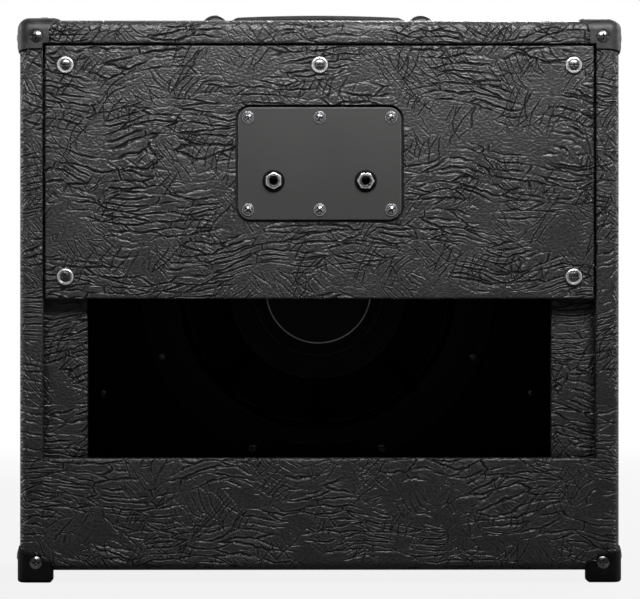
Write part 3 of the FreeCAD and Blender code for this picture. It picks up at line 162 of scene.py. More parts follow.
mottle = mottle_effect()
board_paint = black_board("board_paint", dark=(0.006, 0.006, 0.006, 1), light=(0.014, 0.013, 0.012, 1),
                          streak=(0.12, 1, 1))
dress(board_paint, "top_board", "bottom_board", "left_side_board", "right_side_board",
      "lower_back_panel", "rear_side_cleats", "rear_top_cleat", "rear_bottom_cleat", "upper_back_panel")


# Covering: black crushed-grain vinyl glued round the box, the cleats and the removable panel, and
# turned in at their edges. Its creases run across in bundles that meet in sharp forks. Their lips carry a
# painted highlight; their floors, the grain's hollows and the nooks beside other pieces carry painted
# shade.

def face_map_effect():
    """Flat place on whichever of the box's six faces a point lies, each face taking its own stretch."""
    tree, given, gives = effect("face_map", {"Shift": 0.0}, {"Place": "NodeSocketVector"})
    place = shade(tree, "TexCoord")
    at = shade(tree, "SeparateXYZ", {0: place.outputs["Object"]}).outputs
    facing = shade(tree, "SeparateXYZ", {0: place.outputs["Normal"]}).outputs
    turned = 0.7
    on_side = maths(tree, "GREATER_THAN", maths(tree, "ABSOLUTE", facing["X"]), turned)
    on_top = maths(tree, "GREATER_THAN", maths(tree, "ABSOLUTE", facing["Z"]), turned)
    across = shade(tree, "Mix", {0: on_side, 2: at["X"], 3: at["Y"]}).outputs[0]
    up = shade(tree, "Mix", {0: on_top, 2: at["Z"], 3: at["Y"]}).outputs[0]
    across = maths(tree, "ADD", across, given["Shift"])
    for axis, stretch in (("X", 0.71), ("Y", 1.37), ("Z", 2.13)):
        across = maths(tree, "MULTIPLY_ADD", maths(tree, "GREATER_THAN", facing[axis], turned), stretch,
                       across)
    tree.links.new(shade(tree, "CombineXYZ", {"X": across, "Y": up}).outputs[0], gives["Place"])
    return tree


def crushed_vinyl_effect():
    """Relief in millimetres, masks of the creases' floors and lips for painted shade and painted
    highlights, the grain, and broad wear.
    """
    tree, given, gives = effect(
        "crushed_vinyl", {"Shift": 0.0, "Crease Depth": 0.5},
        {"Relief": "NodeSocketFloat", "Cavity": "NodeSocketFloat", "Lip": "NodeSocketFloat",
         "Grain": "NodeSocketFloat", "Patch": "NodeSocketFloat"})
    flat = shade(tree, "Group", {"Shift": given["Shift"]}, node_tree=face_map).outputs["Place"]

    def noise(size, detail, squeeze=(1.0, 1.0, 1.0)):
        """Noise of a size in metres, squeezed along an axis."""
        vector = vectors(tree, "MULTIPLY", flat, squeeze)
        return shade(tree, "TexNoise", {"Vector": vector, "Scale": 1 / size, "Detail": detail}).outputs

    def pushed(vector, size, amounts):
        """Points pushed about by noise of a size, by up to half the amounts."""
        swing = vectors(tree, "SUBTRACT", noise(size, 1.0)["Color"], (0.5, 0.5, 0.5))
        return vectors(tree, "ADD", vector, vectors(tree, "MULTIPLY", swing, amounts))

    def creases(vector, length, pitch, width):
        """Folds between long cells: masks of their floors and of the lips beside them, and the edges."""
        cells = vectors(tree, "DIVIDE", vector, (length, pitch, 1.0))
        nudge = 0.02
        edges = []
        for step in ((0.0, 0.0, 0.0), (nudge, 0.0, 0.0), (0.0, nudge, 0.0)):
            edge = shade(tree, "TexVoronoi", {"Vector": vectors(tree, "ADD", cells, step), "Scale": 1.0},
                         voronoi_dimensions="2D", feature="DISTANCE_TO_EDGE")
            edges.append(edge.outputs["Distance"])
        climbs = []
        for edge, size in ((edges[1], length), (edges[2], pitch)):
            climbs.append(maths(tree, "DIVIDE", maths(tree, "SUBTRACT", edge, edges[0]), nudge * size))
        squares = maths(tree, "MULTIPLY", climbs[0], climbs[0])
        squares = maths(tree, "MULTIPLY_ADD", climbs[1], climbs[1], squares)
        away = maths(tree, "DIVIDE", edges[0], maths(tree, "SQRT", squares))
        lip_middle = width * 1.4
        lip_reach = width * 0.8
        beside = maths(tree, "ABSOLUTE", maths(tree, "SUBTRACT", away, lip_middle))
        lip = eased(tree, beside, 0.0, lip_reach, 1.0, 0.0)
        return eased(tree, away, 0.0, width, 1.0, 0.0), lip, edges[0]

    wavy = pushed(flat, size=0.12, amounts=(0.045, 0.066, 0.0))
    bent = pushed(wavy, size=0.026, amounts=(0.012, 0.007, 0.0))
    ragged = pushed(bent, size=0.0075, amounts=(0.005, 0.0032, 0.0))
    main, main_lip, main_edge = creases(ragged, length=0.036, pitch=0.0061, width=0.00115)
    bundle = eased(tree, noise(size=0.055, detail=1.5, squeeze=(0.7, 1.25, 1.0))["Fac"], 0.41, 0.53)
    run = eased(tree, noise(size=0.014, detail=1.0, squeeze=(0.5, 1.5, 1.0))["Fac"], 0.32, 0.5)
    main_strength = maths(tree, "MULTIPLY", bundle, run)
    main = maths(tree, "MULTIPLY", main, main_strength)

    folds = main
    lips = maths(tree, "MULTIPLY", main_lip, main_strength)
    relief = maths(tree, "MULTIPLY", main, -1.0)
    for angle, patch_size, fan_depth in ((-0.95, 0.031, 0.6), (0.8, 0.037, 0.5)):
        strewn = pushed(flat, size=patch_size * 2, amounts=(0.035, 0.035, 0.0))
        slant = shade(tree, "VectorRotate", {"Vector": strewn, "Angle": angle}, rotation_type="Z_AXIS")
        slanted = pushed(slant.outputs[0], size=0.008, amounts=(0.004, 0.003, 0.0))
        fan, fan_lip = creases(slanted, length=0.03, pitch=0.0062, width=0.0009)[:2]
        strength = eased(tree, noise(patch_size, detail=1.0)["Fac"], 0.47, 0.61, 0.0, fan_depth)
        fan = maths(tree, "MULTIPLY", fan, strength)
        folds = maths(tree, "MAXIMUM", folds, fan)
        lips = maths(tree, "MAXIMUM", lips, maths(tree, "MULTIPLY", fan_lip, strength))
        relief = maths(tree, "SUBTRACT", relief, fan)

    swell_height = 0.16
    lip_height = 0.22
    grain_height = 0.6
    swell = maths(tree, "MULTIPLY", eased(tree, main_edge, 0.0, 0.5), bundle)
    relief = maths(tree, "MULTIPLY_ADD", swell, swell_height, relief)
    relief = maths(tree, "MULTIPLY_ADD", lips, lip_height, relief)
    relief = maths(tree, "MULTIPLY", relief, given["Crease Depth"])
    grain = noise(size=0.0019, detail=1.0, squeeze=(0.7, 1.0, 1.0))["Fac"]
    relief = maths(tree, "MULTIPLY_ADD", grain, grain_height, relief)
    tree.links.new(relief, gives["Relief"])
    tree.links.new(grain, gives["Grain"])
    tree.links.new(eased(tree, folds, 0.22, 0.6), gives["Cavity"])
    # The lips' mask paints a highlight on them, and the floors' mask paints shade.
    lip_highlight_share = 0.7
    tree.links.new(maths(tree, "MULTIPLY", lips, lip_highlight_share), gives["Lip"])
    tree.links.new(noise(size=0.06, detail=3.0)["Fac"], gives["Patch"])
    return tree


def edge_wear_effect():
    """Rounds a sharp edge's shading over a radius, marks where it is, and marks deep recesses for painted
    shade.
    """
    tree, given, gives = effect(
        "edge_and_recess", {"Radius": 0.0004, "Recess Depth": 0.004, "Recess Reach": 0.9},
        {"Edge": "NodeSocketFloat", "Recess": "NodeSocketFloat", "Normal": "NodeSocketVector"})
    eased_edge = shade(tree, "Bevel", {"Radius": given["Radius"]}, samples=4).outputs["Normal"]
    true = shade(tree, "NewGeometry").outputs["True Normal"]
    along = shade(tree, "VectorMath", {0: eased_edge, 1: true}, operation="DOT_PRODUCT").outputs["Value"]
    tree.links.new(eased(tree, along, 0.8, 0.995, 1.0, 0.0), gives["Edge"])
    open_sky = shade(tree, "AmbientOcclusion", {"Distance": given["Recess Depth"]}, samples=8).outputs["AO"]
    recess_fade = 0.35
    deepest = maths(tree, "SUBTRACT", given["Recess Reach"], recess_fade)
    tree.links.new(eased(tree, open_sky, deepest, given["Recess Reach"], 1.0, 0.0), gives["Recess"])
    tree.links.new(eased_edge, gives["Normal"])
    return tree


def vinyl(name, shift, crease_depth):
    """Black vinyl with painted highlights on the creases' lips, and painted shade in the creases, the
    grain's hollows and beside what stands on it.
    """
    material, tree, shader = surface(name, Specular_IOR_Level=0.42)
    out = shade(tree, "Group", {"Shift": shift, "Crease Depth": crease_depth}, node_tree=crushed).outputs
    worn = mixed(tree, eased(tree, out["Patch"], 0.35, 0.65), (0.026, 0.026, 0.0262, 1),
                 (0.034, 0.034, 0.034, 1))
    # Painted shade: the grain's hollows are darker.
    grain_painted_shade = mixed(tree, eased(tree, out["Grain"], 0.35, 0.6), (0.016, 0.016, 0.016, 1), worn)
    # Painted highlight: the creases' lips are paler.
    lips_painted_highlight = mixed(tree, out["Lip"], grain_painted_shade, (0.07, 0.07, 0.0705, 1))
    # Painted shade: the creases' floors are near black.
    creases_painted_shade = mixed(tree, out["Cavity"], lips_painted_highlight, (0.002, 0.002, 0.002, 1))
    # Painted shade: the vinyl is darker within about 12 mm of what stands on it or over it, found by
    # ambient occlusion.
    contact_painted_shade = shade(tree, "Group", {"Recess Depth": 0.012, "Recess Reach": 0.88}, node_tree=edge_and_recess)
    shaded = mixed(tree, contact_painted_shade.outputs["Recess"], creases_painted_shade, (0.0015, 0.0015, 0.0015, 1))
    millimetre = 0.001
    feed(tree, shader, Base_Color=shaded, Roughness=eased(tree, out["Patch"], 0.3, 0.7, 0.31, 0.4),
         Normal=bumped(tree, out["Relief"], millimetre))
    return material


face_map = face_map_effect()
crushed = crushed_vinyl_effect()
edge_and_recess = edge_wear_effect()
dress(vinyl("vinyl_on_box", shift=0.0, crease_depth=1.05), "vinyl_covering")
dress(vinyl("vinyl_on_panel", shift=0.9, crease_depth=1.15), "back_panel_covering")
dress(vinyl("vinyl_on_cleats", shift=0.45, crease_depth=1.05), "cleat_coverings")


# Fasteners: plated steel wood screws, machine bolts and nuts, and bright pressed cup washers under
# the back panel's screws. Handling has left fine scratches and a dull bloom on the plating.

def plated(name, dull, bright, roughness, edge=0.0003, recess=0.004, reach=0.9, metallic=1.0):
    """Plated metal with a mottled bloom, fine scratches, softened edges and painted shade in its recesses.
    """
    material, tree, shader = surface(name, Metallic=metallic)
    spots = shade(tree, "Group", {"Broad Size": 0.006, "Fine Size": 0.0006, "Squeeze": (1.0, 1.0, 0.25)},
                  node_tree=mottle).outputs
    worn = shade(tree, "Group", {"Radius": edge, "Recess Depth": recess, "Recess Reach": reach},
                 node_tree=edge_and_recess).outputs
    plating = mixed(tree, eased(tree, spots["Broad"], 0.35, 0.65), dull, bright)
    # Painted shade: recesses are darkened by ambient occlusion.
    feed(tree, shader, Base_Color=mixed(tree, worn["Recess"], plating, (0.014, 0.0135, 0.013, 1)),
         Roughness=eased(tree, spots["Fine"], 0.3, 0.75, roughness * 0.8, roughness * 1.4),
         Normal=bumped(tree, spots["Fine"], 0.00002, worn["Normal"]))
    return material


# The cup washers reach far into the painted shade, so their insides are near black.
cup_nickel = plated("cup_nickel", dull=(0.74, 0.74, 0.76, 1), bright=(0.84, 0.84, 0.86, 1), roughness=0.2,
                    recess=0.012, reach=1.04, metallic=0.6)
nut_chrome = plated("nut_chrome", dull=(0.8, 0.8, 0.82, 1), bright=(0.92, 0.92, 0.94, 1), roughness=0.22,
                    edge=0.0013, metallic=0.85)
pan_chrome = plated("pan_chrome", dull=(0.45, 0.45, 0.47, 1), bright=(0.58, 0.58, 0.6, 1), roughness=0.2,
                    recess=0.0018, reach=0.95, metallic=0.9)
zinc = plated("zinc", dull=(0.3, 0.3, 0.31, 1), bright=(0.5, 0.5, 0.52, 1), roughness=0.34)
steel = plated("dark_steel", dull=(0.16, 0.16, 0.165, 1), bright=(0.26, 0.26, 0.27, 1), roughness=0.2,
               recess=0.0012)
dress(cup_nickel, "back_panel_cup_washers")
dress(nut_chrome, "jack_nuts")
dress(pan_chrome, "jack_plate_screws")
dress(zinc, "baffle_screws", "grille_screws", "handle_tee_nuts", "jack_frames", "speaker_bolts",
      "speaker_tee_nuts", "speaker_top_plate")
dress(steel, "corner_screws", "handle_bolts", "back_panel_screws")


# Front: battens and baffle painted dull black, and a frame that carries the grille cloth. The cloth is
# one piece, pulled tight over the frame's face and round its edges to the baffle.

def weave_effect():
    """Plain weave of round threads: its relief, and a mask of the threads that pass on top."""
    tree, given, gives = effect("weave", {"Pitch": 0.002},
                                {"Relief": "NodeSocketFloat", "Over": "NodeSocketFloat"})
    place = shade(tree, "Group", {"Shift": 0.0}, node_tree=face_map).outputs["Place"]
    per_metre = maths(tree, "DIVIDE", 1.0, given["Pitch"])
    counted = shade(tree, "VectorMath", {0: place, "Scale": per_metre}, operation="SCALE").outputs["Vector"]
    steps = shade(tree, "SeparateXYZ", {0: counted}).outputs

    def thread(side, along, lift):
        """Round back of a thread that rises over every second one it crosses."""
        back = maths(tree, "ABSOLUTE", maths(tree, "SINE", maths(tree, "MULTIPLY", side, math.pi)))
        count = maths(tree, "ADD", maths(tree, "FLOOR", side), lift)
        wave = maths(tree, "SINE", maths(tree, "MULTIPLY", maths(tree, "ADD", along, count), math.pi))
        return maths(tree, "MULTIPLY", back, maths(tree, "MULTIPLY_ADD", wave, 0.5, 0.5))

    upright = thread(steps["X"], steps["Y"], 0.0)
    level = thread(steps["Y"], steps["X"], 1.0)
    tree.links.new(maths(tree, "MAXIMUM", upright, level), gives["Relief"])
    tree.links.new(maths(tree, "GREATER_THAN", upright, level), gives["Over"])
    return tree


def ring_of(width, height, radius, y, z):
    """Corner-rounded rectangle across Y, as points round its middle."""
    corner_points = 5
    points = []
    for quarter in range(4):
        side = 1 if quarter in (0, 3) else -1
        top = 1 if quarter in (0, 1) else -1
        for step in range(corner_points):
            angle = math.pi / 2 * (quarter + step / (corner_points - 1))
            points.append((side * (width / 2 - radius) + radius * math.cos(angle), y,
                           z + top * (height / 2 - radius) + radius * math.sin(angle)))
    return points


def skinned(name, rings, closed):
    """Mesh object over a row of rings with as many points each; closed lists the ends to fill."""
    mesh = bmesh.new()
    rows = [[mesh.verts.new(point) for point in ring] for ring in rings]
    for near, far in zip(rows, rows[1:]):
        for i in range(len(near)):
            j = (i + 1) % len(near)
            mesh.faces.new((near[i], near[j], far[j], far[i]))
    for end in closed:
        cap = mesh.faces.new(rows[end])
        for edge in cap.edges:
            edge.smooth = False
    bmesh.ops.recalc_face_normals(mesh, faces=mesh.faces)
    for face in mesh.faces:
        face.smooth = True
    data = bpy.data.meshes.new(name)
    mesh.to_mesh(data)
    mesh.free()
    made = bpy.data.objects.new(name, data)
    bpy.context.scene.collection.objects.link(made)
    return made


baffle_paint = black_board("baffle_paint", dark=(0.003, 0.003, 0.003, 1), light=(0.007, 0.0068, 0.0065, 1),
                           streak=(1, 1, 0.15))
dress(baffle_paint, "front_battens", "baffle_board", "grille_frame")

weave = weave_effect()
cloth_black, tree, shader = surface("cloth_black", Specular_IOR_Level=0.15, Sheen_Weight=0.08,
                                    Sheen_Roughness=0.5)
threads = shade(tree, "Group", {"Pitch": 0.0026}, node_tree=weave).outputs
slub = shade(tree, "Group", {"Broad Size": 0.08, "Fine Size": 0.004, "Squeeze": (1.0, 1.0, 0.2)},
             node_tree=mottle).outputs
# Painted light: threads that pass on top are paler than those beneath.
threads_painted_lit = mixed(tree, threads["Over"], (0.012, 0.012, 0.0125, 1), (0.032, 0.032, 0.0327, 1))
slubbed = mixed(tree, eased(tree, slub["Fine"], 0.35, 0.65), (0.009, 0.009, 0.0093, 1), threads_painted_lit)
# Painted shade: the hollows between the threads are near black.
hollows_painted_shade = mixed(tree, eased(tree, threads["Relief"], 0.05, 0.6), (0.002, 0.002, 0.002, 1), slubbed)
feed(tree, shader, Base_Color=hollows_painted_shade, Roughness=eased(tree, slub["Fine"], 0.3, 0.7, 0.65, 0.85),
     Normal=bumped(tree, threads["Relief"], 0.00045))

hem_low, hem_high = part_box("grille_cloth_hem")
face_low, face_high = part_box("grille_cloth")
cloth_thickness = face_high.y - face_low.y
cloth_width = hem_high.x - hem_low.x
cloth_height = hem_high.z - hem_low.z
cloth_middle = (hem_low.z + hem_high.z) / 2
hem_radius = face_low.x - hem_low.x
plan_radius = 0.0012
rings = [ring_of(cloth_width, cloth_height, plan_radius, hem_low.y, z=cloth_middle)]
arc_steps = 6
for step in range(arc_steps + 1):
    angle = math.pi / 2 * step / arc_steps
    inset = hem_radius * (1 - math.cos(angle))
    rings.append(ring_of(cloth_width - 2 * inset, cloth_height - 2 * inset, plan_radius,
                         hem_high.y - hem_radius * (1 - math.sin(angle)), z=cloth_middle))
grille_cloth = skinned("grille_cloth_tight", rings, closed=(-1,))
for polygon in grille_cloth.data.polygons:
    polygon.use_smooth = len(polygon.vertices) == 4
grille_cloth.data.materials.append(cloth_black)
pulled_thin = 0.9
shell = grille_cloth.modifiers.new("thickness", "SOLIDIFY")
shell.thickness = cloth_thickness * pulled_thin
shell.offset = -1
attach(grille_cloth, "cabinet")
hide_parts("grille_cloth", "grille_cloth_hem")


# Corner protectors: black moulded shells screwed over the eight corners, the lower four with feet. The
# upper ones are faintly mottled and darker at their edges; the feet are painted blacker as shade, with
# rubbed edges.

def moulded(name, dark, light, edge_colour, roughness, specular=0.3):
    """Moulded plastic or rubber with a fine grain and edges of another shade."""
    material, tree, shader = surface(name, Specular_IOR_Level=specular)
    grain = shade(tree, "Group", {"Broad Size": 0.014, "Fine Size": 0.0012}, node_tree=mottle).outputs
    worn = shade(tree, "Group", {"Radius": 0.0008}, node_tree=edge_and_recess).outputs
    body = mixed(tree, eased(tree, grain["Broad"], 0.35, 0.65), dark, light)
    rubbed = maths(tree, "MULTIPLY", worn["Edge"], eased(tree, grain["Fine"], 0.3, 0.6))
    feed(tree, shader, Base_Color=mixed(tree, rubbed, body, edge_colour),
         Roughness=eased(tree, grain["Fine"], 0.3, 0.7, roughness * 0.85, roughness * 1.2),
         Normal=bumped(tree, grain["Fine"], 0.00012, worn["Normal"]))
    return material


corner_black = moulded("corner_black", dark=(0.009, 0.009, 0.009, 1), light=(0.03, 0.0298, 0.029, 1),
                       edge_colour=(0.006, 0.006, 0.006, 1), roughness=0.46, specular=0.35)
dress(corner_black, "corner_caps_top")
# Painted shade: the feet are a darker, less shiny copy of the corners' plastic.
foot_shaded_black = moulded("foot_shaded_black", dark=(0.003, 0.003, 0.003, 1), light=(0.006, 0.006, 0.006, 1),
                     edge_colour=(0.01, 0.01, 0.01, 1), roughness=0.5, specular=0.12)
dress(foot_shaded_black, "corner_feet_bottom")


# Strap handle: a moulded rubber grip whose flat tails slide in two plastic end caps. The strap is made
# in two halves, each running from its cap to the grip.

def strap_half(name, side):
    """Right or left half of the strap, with the slot for its cap's bolt."""
    grip_low, grip_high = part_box("handle_grip")
    tail_low, tail_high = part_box("handle_tail_" + name)
    grip_thickness = 0.006
    shoulder = 0.0035
    arch = grip_high.z - grip_low.z - grip_thickness
    tail_end = max(abs(tail_low.x), abs(tail_high.x))
    tail_thickness = tail_high.z - tail_low.z
    shoulder_start = grip_high.x - shoulder
    grip_steps = 24
    end_steps = 10
    stations = [shoulder_start * i / grip_steps for i in range(grip_steps)]
    stations += [shoulder_start + 2 * shoulder * i / end_steps for i in range(end_steps + 1)]
    tail_start = stations[-1]
    stations += [tail_start + (tail_end - tail_start) * i / end_steps for i in range(1, end_steps + 1)]
    round_points = 32
    squareness = 0.36
    rings = []
    for x in stations:
        share = min(max((x - shoulder_start) / (2 * shoulder), 0), 1)
        share = share * share * (3 - 2 * share)
        rise = arch * max(0, 1 - (x / grip_high.x) ** 2)
        grip_z = grip_low.z + grip_thickness / 2 + rise
        tail_z = (tail_low.z + tail_high.z) / 2
        width = (1 - share) * (grip_high.y - grip_low.y) + share * (tail_high.y - tail_low.y)
        thickness = (1 - share) * grip_thickness + share * tail_thickness
        ring = []
        for i in range(round_points):
            angle = 2 * math.pi * i / round_points
            c, s = math.cos(angle), math.sin(angle)
            ring.append((side * x, width / 2 * math.copysign(abs(c) ** squareness, c),
                         (1 - share) * grip_z + share * tail_z
                         + thickness / 2 * math.copysign(abs(s) ** squareness, s)))
        rings.append(ring)
    half = skinned("handle_strap_" + name, rings, closed=(0, -1))
    bolt_low, bolt_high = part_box("handle_bolts")
    bolt_x = side * (bolt_high.x - (bolt_high.y - bolt_low.y) / 2)
    slot_radius = 0.0027
    slot_travel = 0.0035
    slot_end = bolt_x + side * slot_travel
    slot_steps = 24
    slot_points = []
    for i in range(slot_steps):
        angle = 2 * math.pi * (i + 0.5) / slot_steps
        centre = slot_end if side * math.cos(angle) > 0 else bolt_x
        slot_points.append((centre + slot_radius * math.cos(angle), slot_radius * math.sin(angle)))
    past_tail = 0.01
    cutter_ends = (tail_low.z - past_tail, tail_high.z + past_tail)
    cutter_rings = [[(x, y, z) for x, y in slot_points] for z in cutter_ends]
    cutter = skinned("slot_cutter", cutter_rings, closed=(0, 1))
    slot = half.modifiers.new("slot", "BOOLEAN")
    slot.operation = "DIFFERENCE"
    slot.object = cutter
    half.data = bpy.data.meshes.new_from_object(half.evaluated_get(bpy.context.evaluated_depsgraph_get()))
    half.modifiers.clear()
    bpy.data.objects.remove(cutter)
    half.data.materials.append(strap_rubber)
    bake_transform(half)
    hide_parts("handle_grip", "handle_tail_" + name)


strap_rubber = moulded("strap_rubber", dark=(0.012, 0.012, 0.012, 1), light=(0.018, 0.018, 0.018, 1),
                       edge_colour=(0.03, 0.03, 0.03, 1), roughness=0.55, specular=0.2)
strap_half("left", -1)
strap_half("right", 1)
cap_black = moulded("cap_black", dark=(0.012, 0.012, 0.012, 1), light=(0.016, 0.016, 0.016, 1),
                    edge_colour=(0.05, 0.05, 0.05, 1), roughness=0.38)
dress(cap_black, "handle_cap_left", "handle_cap_right")


# Jack plate: folded steel plate in dark grey satin paint, let into the panel, with two open-frame
# quarter-inch jacks behind it and black washers under their nuts.

plate_paint, tree, shader = surface("plate_paint", Specular_IOR_Level=0.3)
tone = shade(tree, "Group", {"Broad Size": 0.12, "Fine Size": 0.0008}, node_tree=mottle).outputs
worn = shade(tree, "Group", {"Radius": 0.0012}, node_tree=edge_and_recess).outputs
plate_tone = mixed(tree, eased(tree, tone["Broad"], 0.3, 0.7), (0.0325, 0.0335, 0.032, 1),
                   (0.0385, 0.0395, 0.0378, 1))
# The plate's edges are paler, partly paint worn to steel and partly a painted highlight along the bevel.
feed(tree, shader, Base_Color=mixed(tree, worn["Edge"], plate_tone, (0.2, 0.203, 0.197, 1)),
     Roughness=eased(tree, tone["Fine"], 0.3, 0.7, 0.4, 0.52),
     Normal=bumped(tree, tone["Fine"], 0.00006, worn["Normal"]))
dress(plate_paint, "jack_plate")
washer_black = moulded("washer_black", dark=(0.002, 0.002, 0.002, 1), light=(0.004, 0.004, 0.004, 1),
                       edge_colour=(0.015, 0.015, 0.015, 1), roughness=0.4, specular=0.1)
dress(washer_black, "jack_washers")
# Painted reflection: the nickel bush is drawn dark across its faces, with a painted highlight round its
# edges.
bush_painted_glint = moulded("bush_painted_glint", dark=(0.008, 0.008, 0.008, 1), light=(0.014, 0.014, 0.014, 1),
                      edge_colour=(0.6, 0.6, 0.61, 1), roughness=0.25)
dress(bush_painted_glint, "jack_bushes")
fibre = moulded("fibre", dark=(0.16, 0.085, 0.04, 1), light=(0.23, 0.125, 0.06, 1),
                edge_colour=(0.3, 0.18, 0.1, 1), roughness=0.6)
dress(fibre, "jack_insulators", "terminal_strip")
tinned = plated("tinned_brass", dull=(0.45, 0.4, 0.3, 1), bright=(0.62, 0.56, 0.42, 1), roughness=0.3)
dress(tinned, "jack_lugs", "jack_tip_spring_left", "jack_tip_spring_right", "jack_link_wires",
      "terminal_blades")


# Driver: pressed steel basket, ferrite magnet and a back plate that is painted black but for its
# turned edge. The paper cone's surround and its cloth spider flex between the basket and the cone.

# The basket's edges are pale, partly paint worn to steel and partly a painted highlight.
driver_black = moulded("driver_black", dark=(0.003, 0.003, 0.0032, 1), light=(0.006, 0.006, 0.0062, 1),
                       edge_colour=(0.4, 0.4, 0.42, 1), roughness=0.45, specular=0.12)
dress(driver_black, "speaker_basket")
ferrite = moulded("ferrite", dark=(0.004, 0.004, 0.0042, 1), light=(0.008, 0.008, 0.0084, 1),
                  edge_colour=(0.02, 0.02, 0.02, 1), roughness=0.6, specular=0.1)
dress(ferrite, "speaker_magnet")

plate_low, plate_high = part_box("speaker_back_plate")
axis_z = (plate_low.z + plate_high.z) / 2
plate_radius = (plate_high.z - plate_low.z) / 2
edge_bevel = 0.001
back_plate, tree, shader = surface("back_plate_black", Specular_IOR_Level=0.12)
place = shade(tree, "SeparateXYZ", {0: shade(tree, "TexCoord").outputs["Object"]}).outputs
across = maths(tree, "POWER", place["X"], 2.0)
above = maths(tree, "POWER", maths(tree, "SUBTRACT", place["Z"], axis_z), 2.0)
from_axis = maths(tree, "SQRT", maths(tree, "ADD", across, above))
turned_edge = eased(tree, from_axis, plate_radius - edge_bevel * 1.15, plate_radius - edge_bevel * 0.95)
marks = shade(tree, "Group", {"Broad Size": 0.02, "Fine Size": 0.001}, node_tree=mottle).outputs
edge_metallic = 0.3
feed(tree, shader, Metallic=maths(tree, "MULTIPLY", turned_edge, edge_metallic),
     Base_Color=mixed(tree, turned_edge, (0.004, 0.004, 0.0042, 1), (0.86, 0.89, 0.93, 1)),
     Roughness=eased(tree, marks["Fine"], 0.3, 0.7, 0.3, 0.45),
     Normal=bumped(tree, marks["Fine"], 0.00005))
dress(back_plate, "speaker_back_plate")

cone_paper, tree, shader = surface("cone_paper", Specular_IOR_Level=0.15)
fibres = shade(tree, "Group", {"Broad Size": 0.02, "Fine Size": 0.0015}, node_tree=mottle).outputs
paper_black = mixed(tree, eased(tree, fibres["Broad"], 0.3, 0.7), (0.009, 0.0088, 0.0085, 1),
                    (0.016, 0.0155, 0.015, 1))
feed(tree, shader, Base_Color=paper_black, Roughness=eased(tree, fibres["Fine"], 0.3, 0.7, 0.7, 0.95),
     Normal=bumped(tree, fibres["Fine"], 0.0004))
dress(cone_paper, "speaker_cone", "speaker_dust_cap")
copper = plated("coil_copper", dull=(0.4, 0.19, 0.09, 1), bright=(0.58, 0.3, 0.15, 1), roughness=0.3)
dress(copper, "speaker_voice_coil")

card, tree, shader = surface("gasket_card", Specular_IOR_Level=0.15)
fibres = shade(tree, "Group", {"Broad Size": 0.01, "Fine Size": 0.0012}, node_tree=mottle).outputs
feed(tree, shader, Base_Color=mixed(tree, fibres["Fine"], (0.05, 0.043, 0.034, 1), (0.09, 0.078, 0.06, 1)),
     Roughness=eased(tree, fibres["Fine"], 0.3, 0.7, 0.75, 0.95),
     Normal=bumped(tree, fibres["Fine"], 0.0003))
dress(card, "speaker_gasket")


def rolled_sectors(name, count, inner, outer, lip, depth_face, rolls, height, wall, material):
    """Ring of shallow rolls in sectors; each follows the cone inside and the basket outside."""
    half = math.pi / count
    steps_per_roll = 12
    profile_steps = steps_per_roll * rolls
    near = [(inner + (outer - inner) * i / profile_steps,
             depth_face - height * math.sin(2 * math.pi * rolls * i / profile_steps))
            for i in range(profile_steps + 1)] + [(lip, depth_face)]
    section = near + [(radius, y - wall) for radius, y in reversed(near)]
    turns = 8
    for sector in range(count):
        middle = 2 * half * sector
        rings = []
        for i in range(turns + 1):
            angle = middle - half + 2 * half * i / turns
            rings.append([(radius * math.sin(angle), y, axis_z + radius * math.cos(angle))
                          for radius, y in section])
        piece = skinned(f"{name}_{sector + 1:02d}", rings, closed=(0, -1))
        piece.data.materials.append(material)
        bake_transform(piece)
        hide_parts("speaker_" + name)


spider_cloth, tree, shader = surface("spider_cloth", Specular_IOR_Level=0.1)
threads = shade(tree, "Group", {"Pitch": 0.0012}, node_tree=weave).outputs
# Painted shade: the weave's hollows are darker than the threads' tops.
feed(tree, shader, Base_Color=mixed(tree, threads["Relief"], (0.1, 0.065, 0.03, 1), (0.28, 0.19, 0.09, 1)),
     Roughness=eased(tree, threads["Relief"], 0.0, 1.0, 0.95, 0.75),
     Normal=bumped(tree, threads["Relief"], 0.0002))
surround_low, surround_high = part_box("speaker_surround")
spider_low, spider_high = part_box("speaker_spider")
cone_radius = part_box("speaker_cone")[1].x
coil_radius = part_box("speaker_voice_coil")[1].x
flex_gap = 0.0003
flex_wall = 0.0006
rolled_sectors("surround", count=16, inner=cone_radius + flex_gap, outer=0.1185, lip=surround_high.x,
               depth_face=(surround_low.y + surround_high.y + flex_wall) / 2, rolls=1, height=0.0008,
               wall=flex_wall, material=cone_paper)
rolled_sectors("spider", count=8, inner=coil_radius + flex_gap, outer=0.053, lip=spider_high.x,
               depth_face=(spider_low.y + spider_high.y + flex_wall) / 2, rolls=3, height=0.0009,
               wall=flex_wall, material=spider_cloth)


# Wiring: two sleeved leads from the jacks to the driver, clipped to the ceiling by saddles, and two
# slack braided leads from the driver's terminals to the back of its cone.

sleeve = moulded("lead_sleeve", dark=(0.008, 0.008, 0.008, 1), light=(0.012, 0.012, 0.012, 1),
                 edge_colour=(0.02, 0.02, 0.02, 1), roughness=0.4)
dress(sleeve, "speaker_leads")
saddle_black = moulded("saddle_black", dark=(0.02, 0.02, 0.02, 1), light=(0.03, 0.03, 0.03, 1),
                       edge_colour=(0.05, 0.05, 0.05, 1), roughness=0.5)
dress(saddle_black, "lead_saddles")


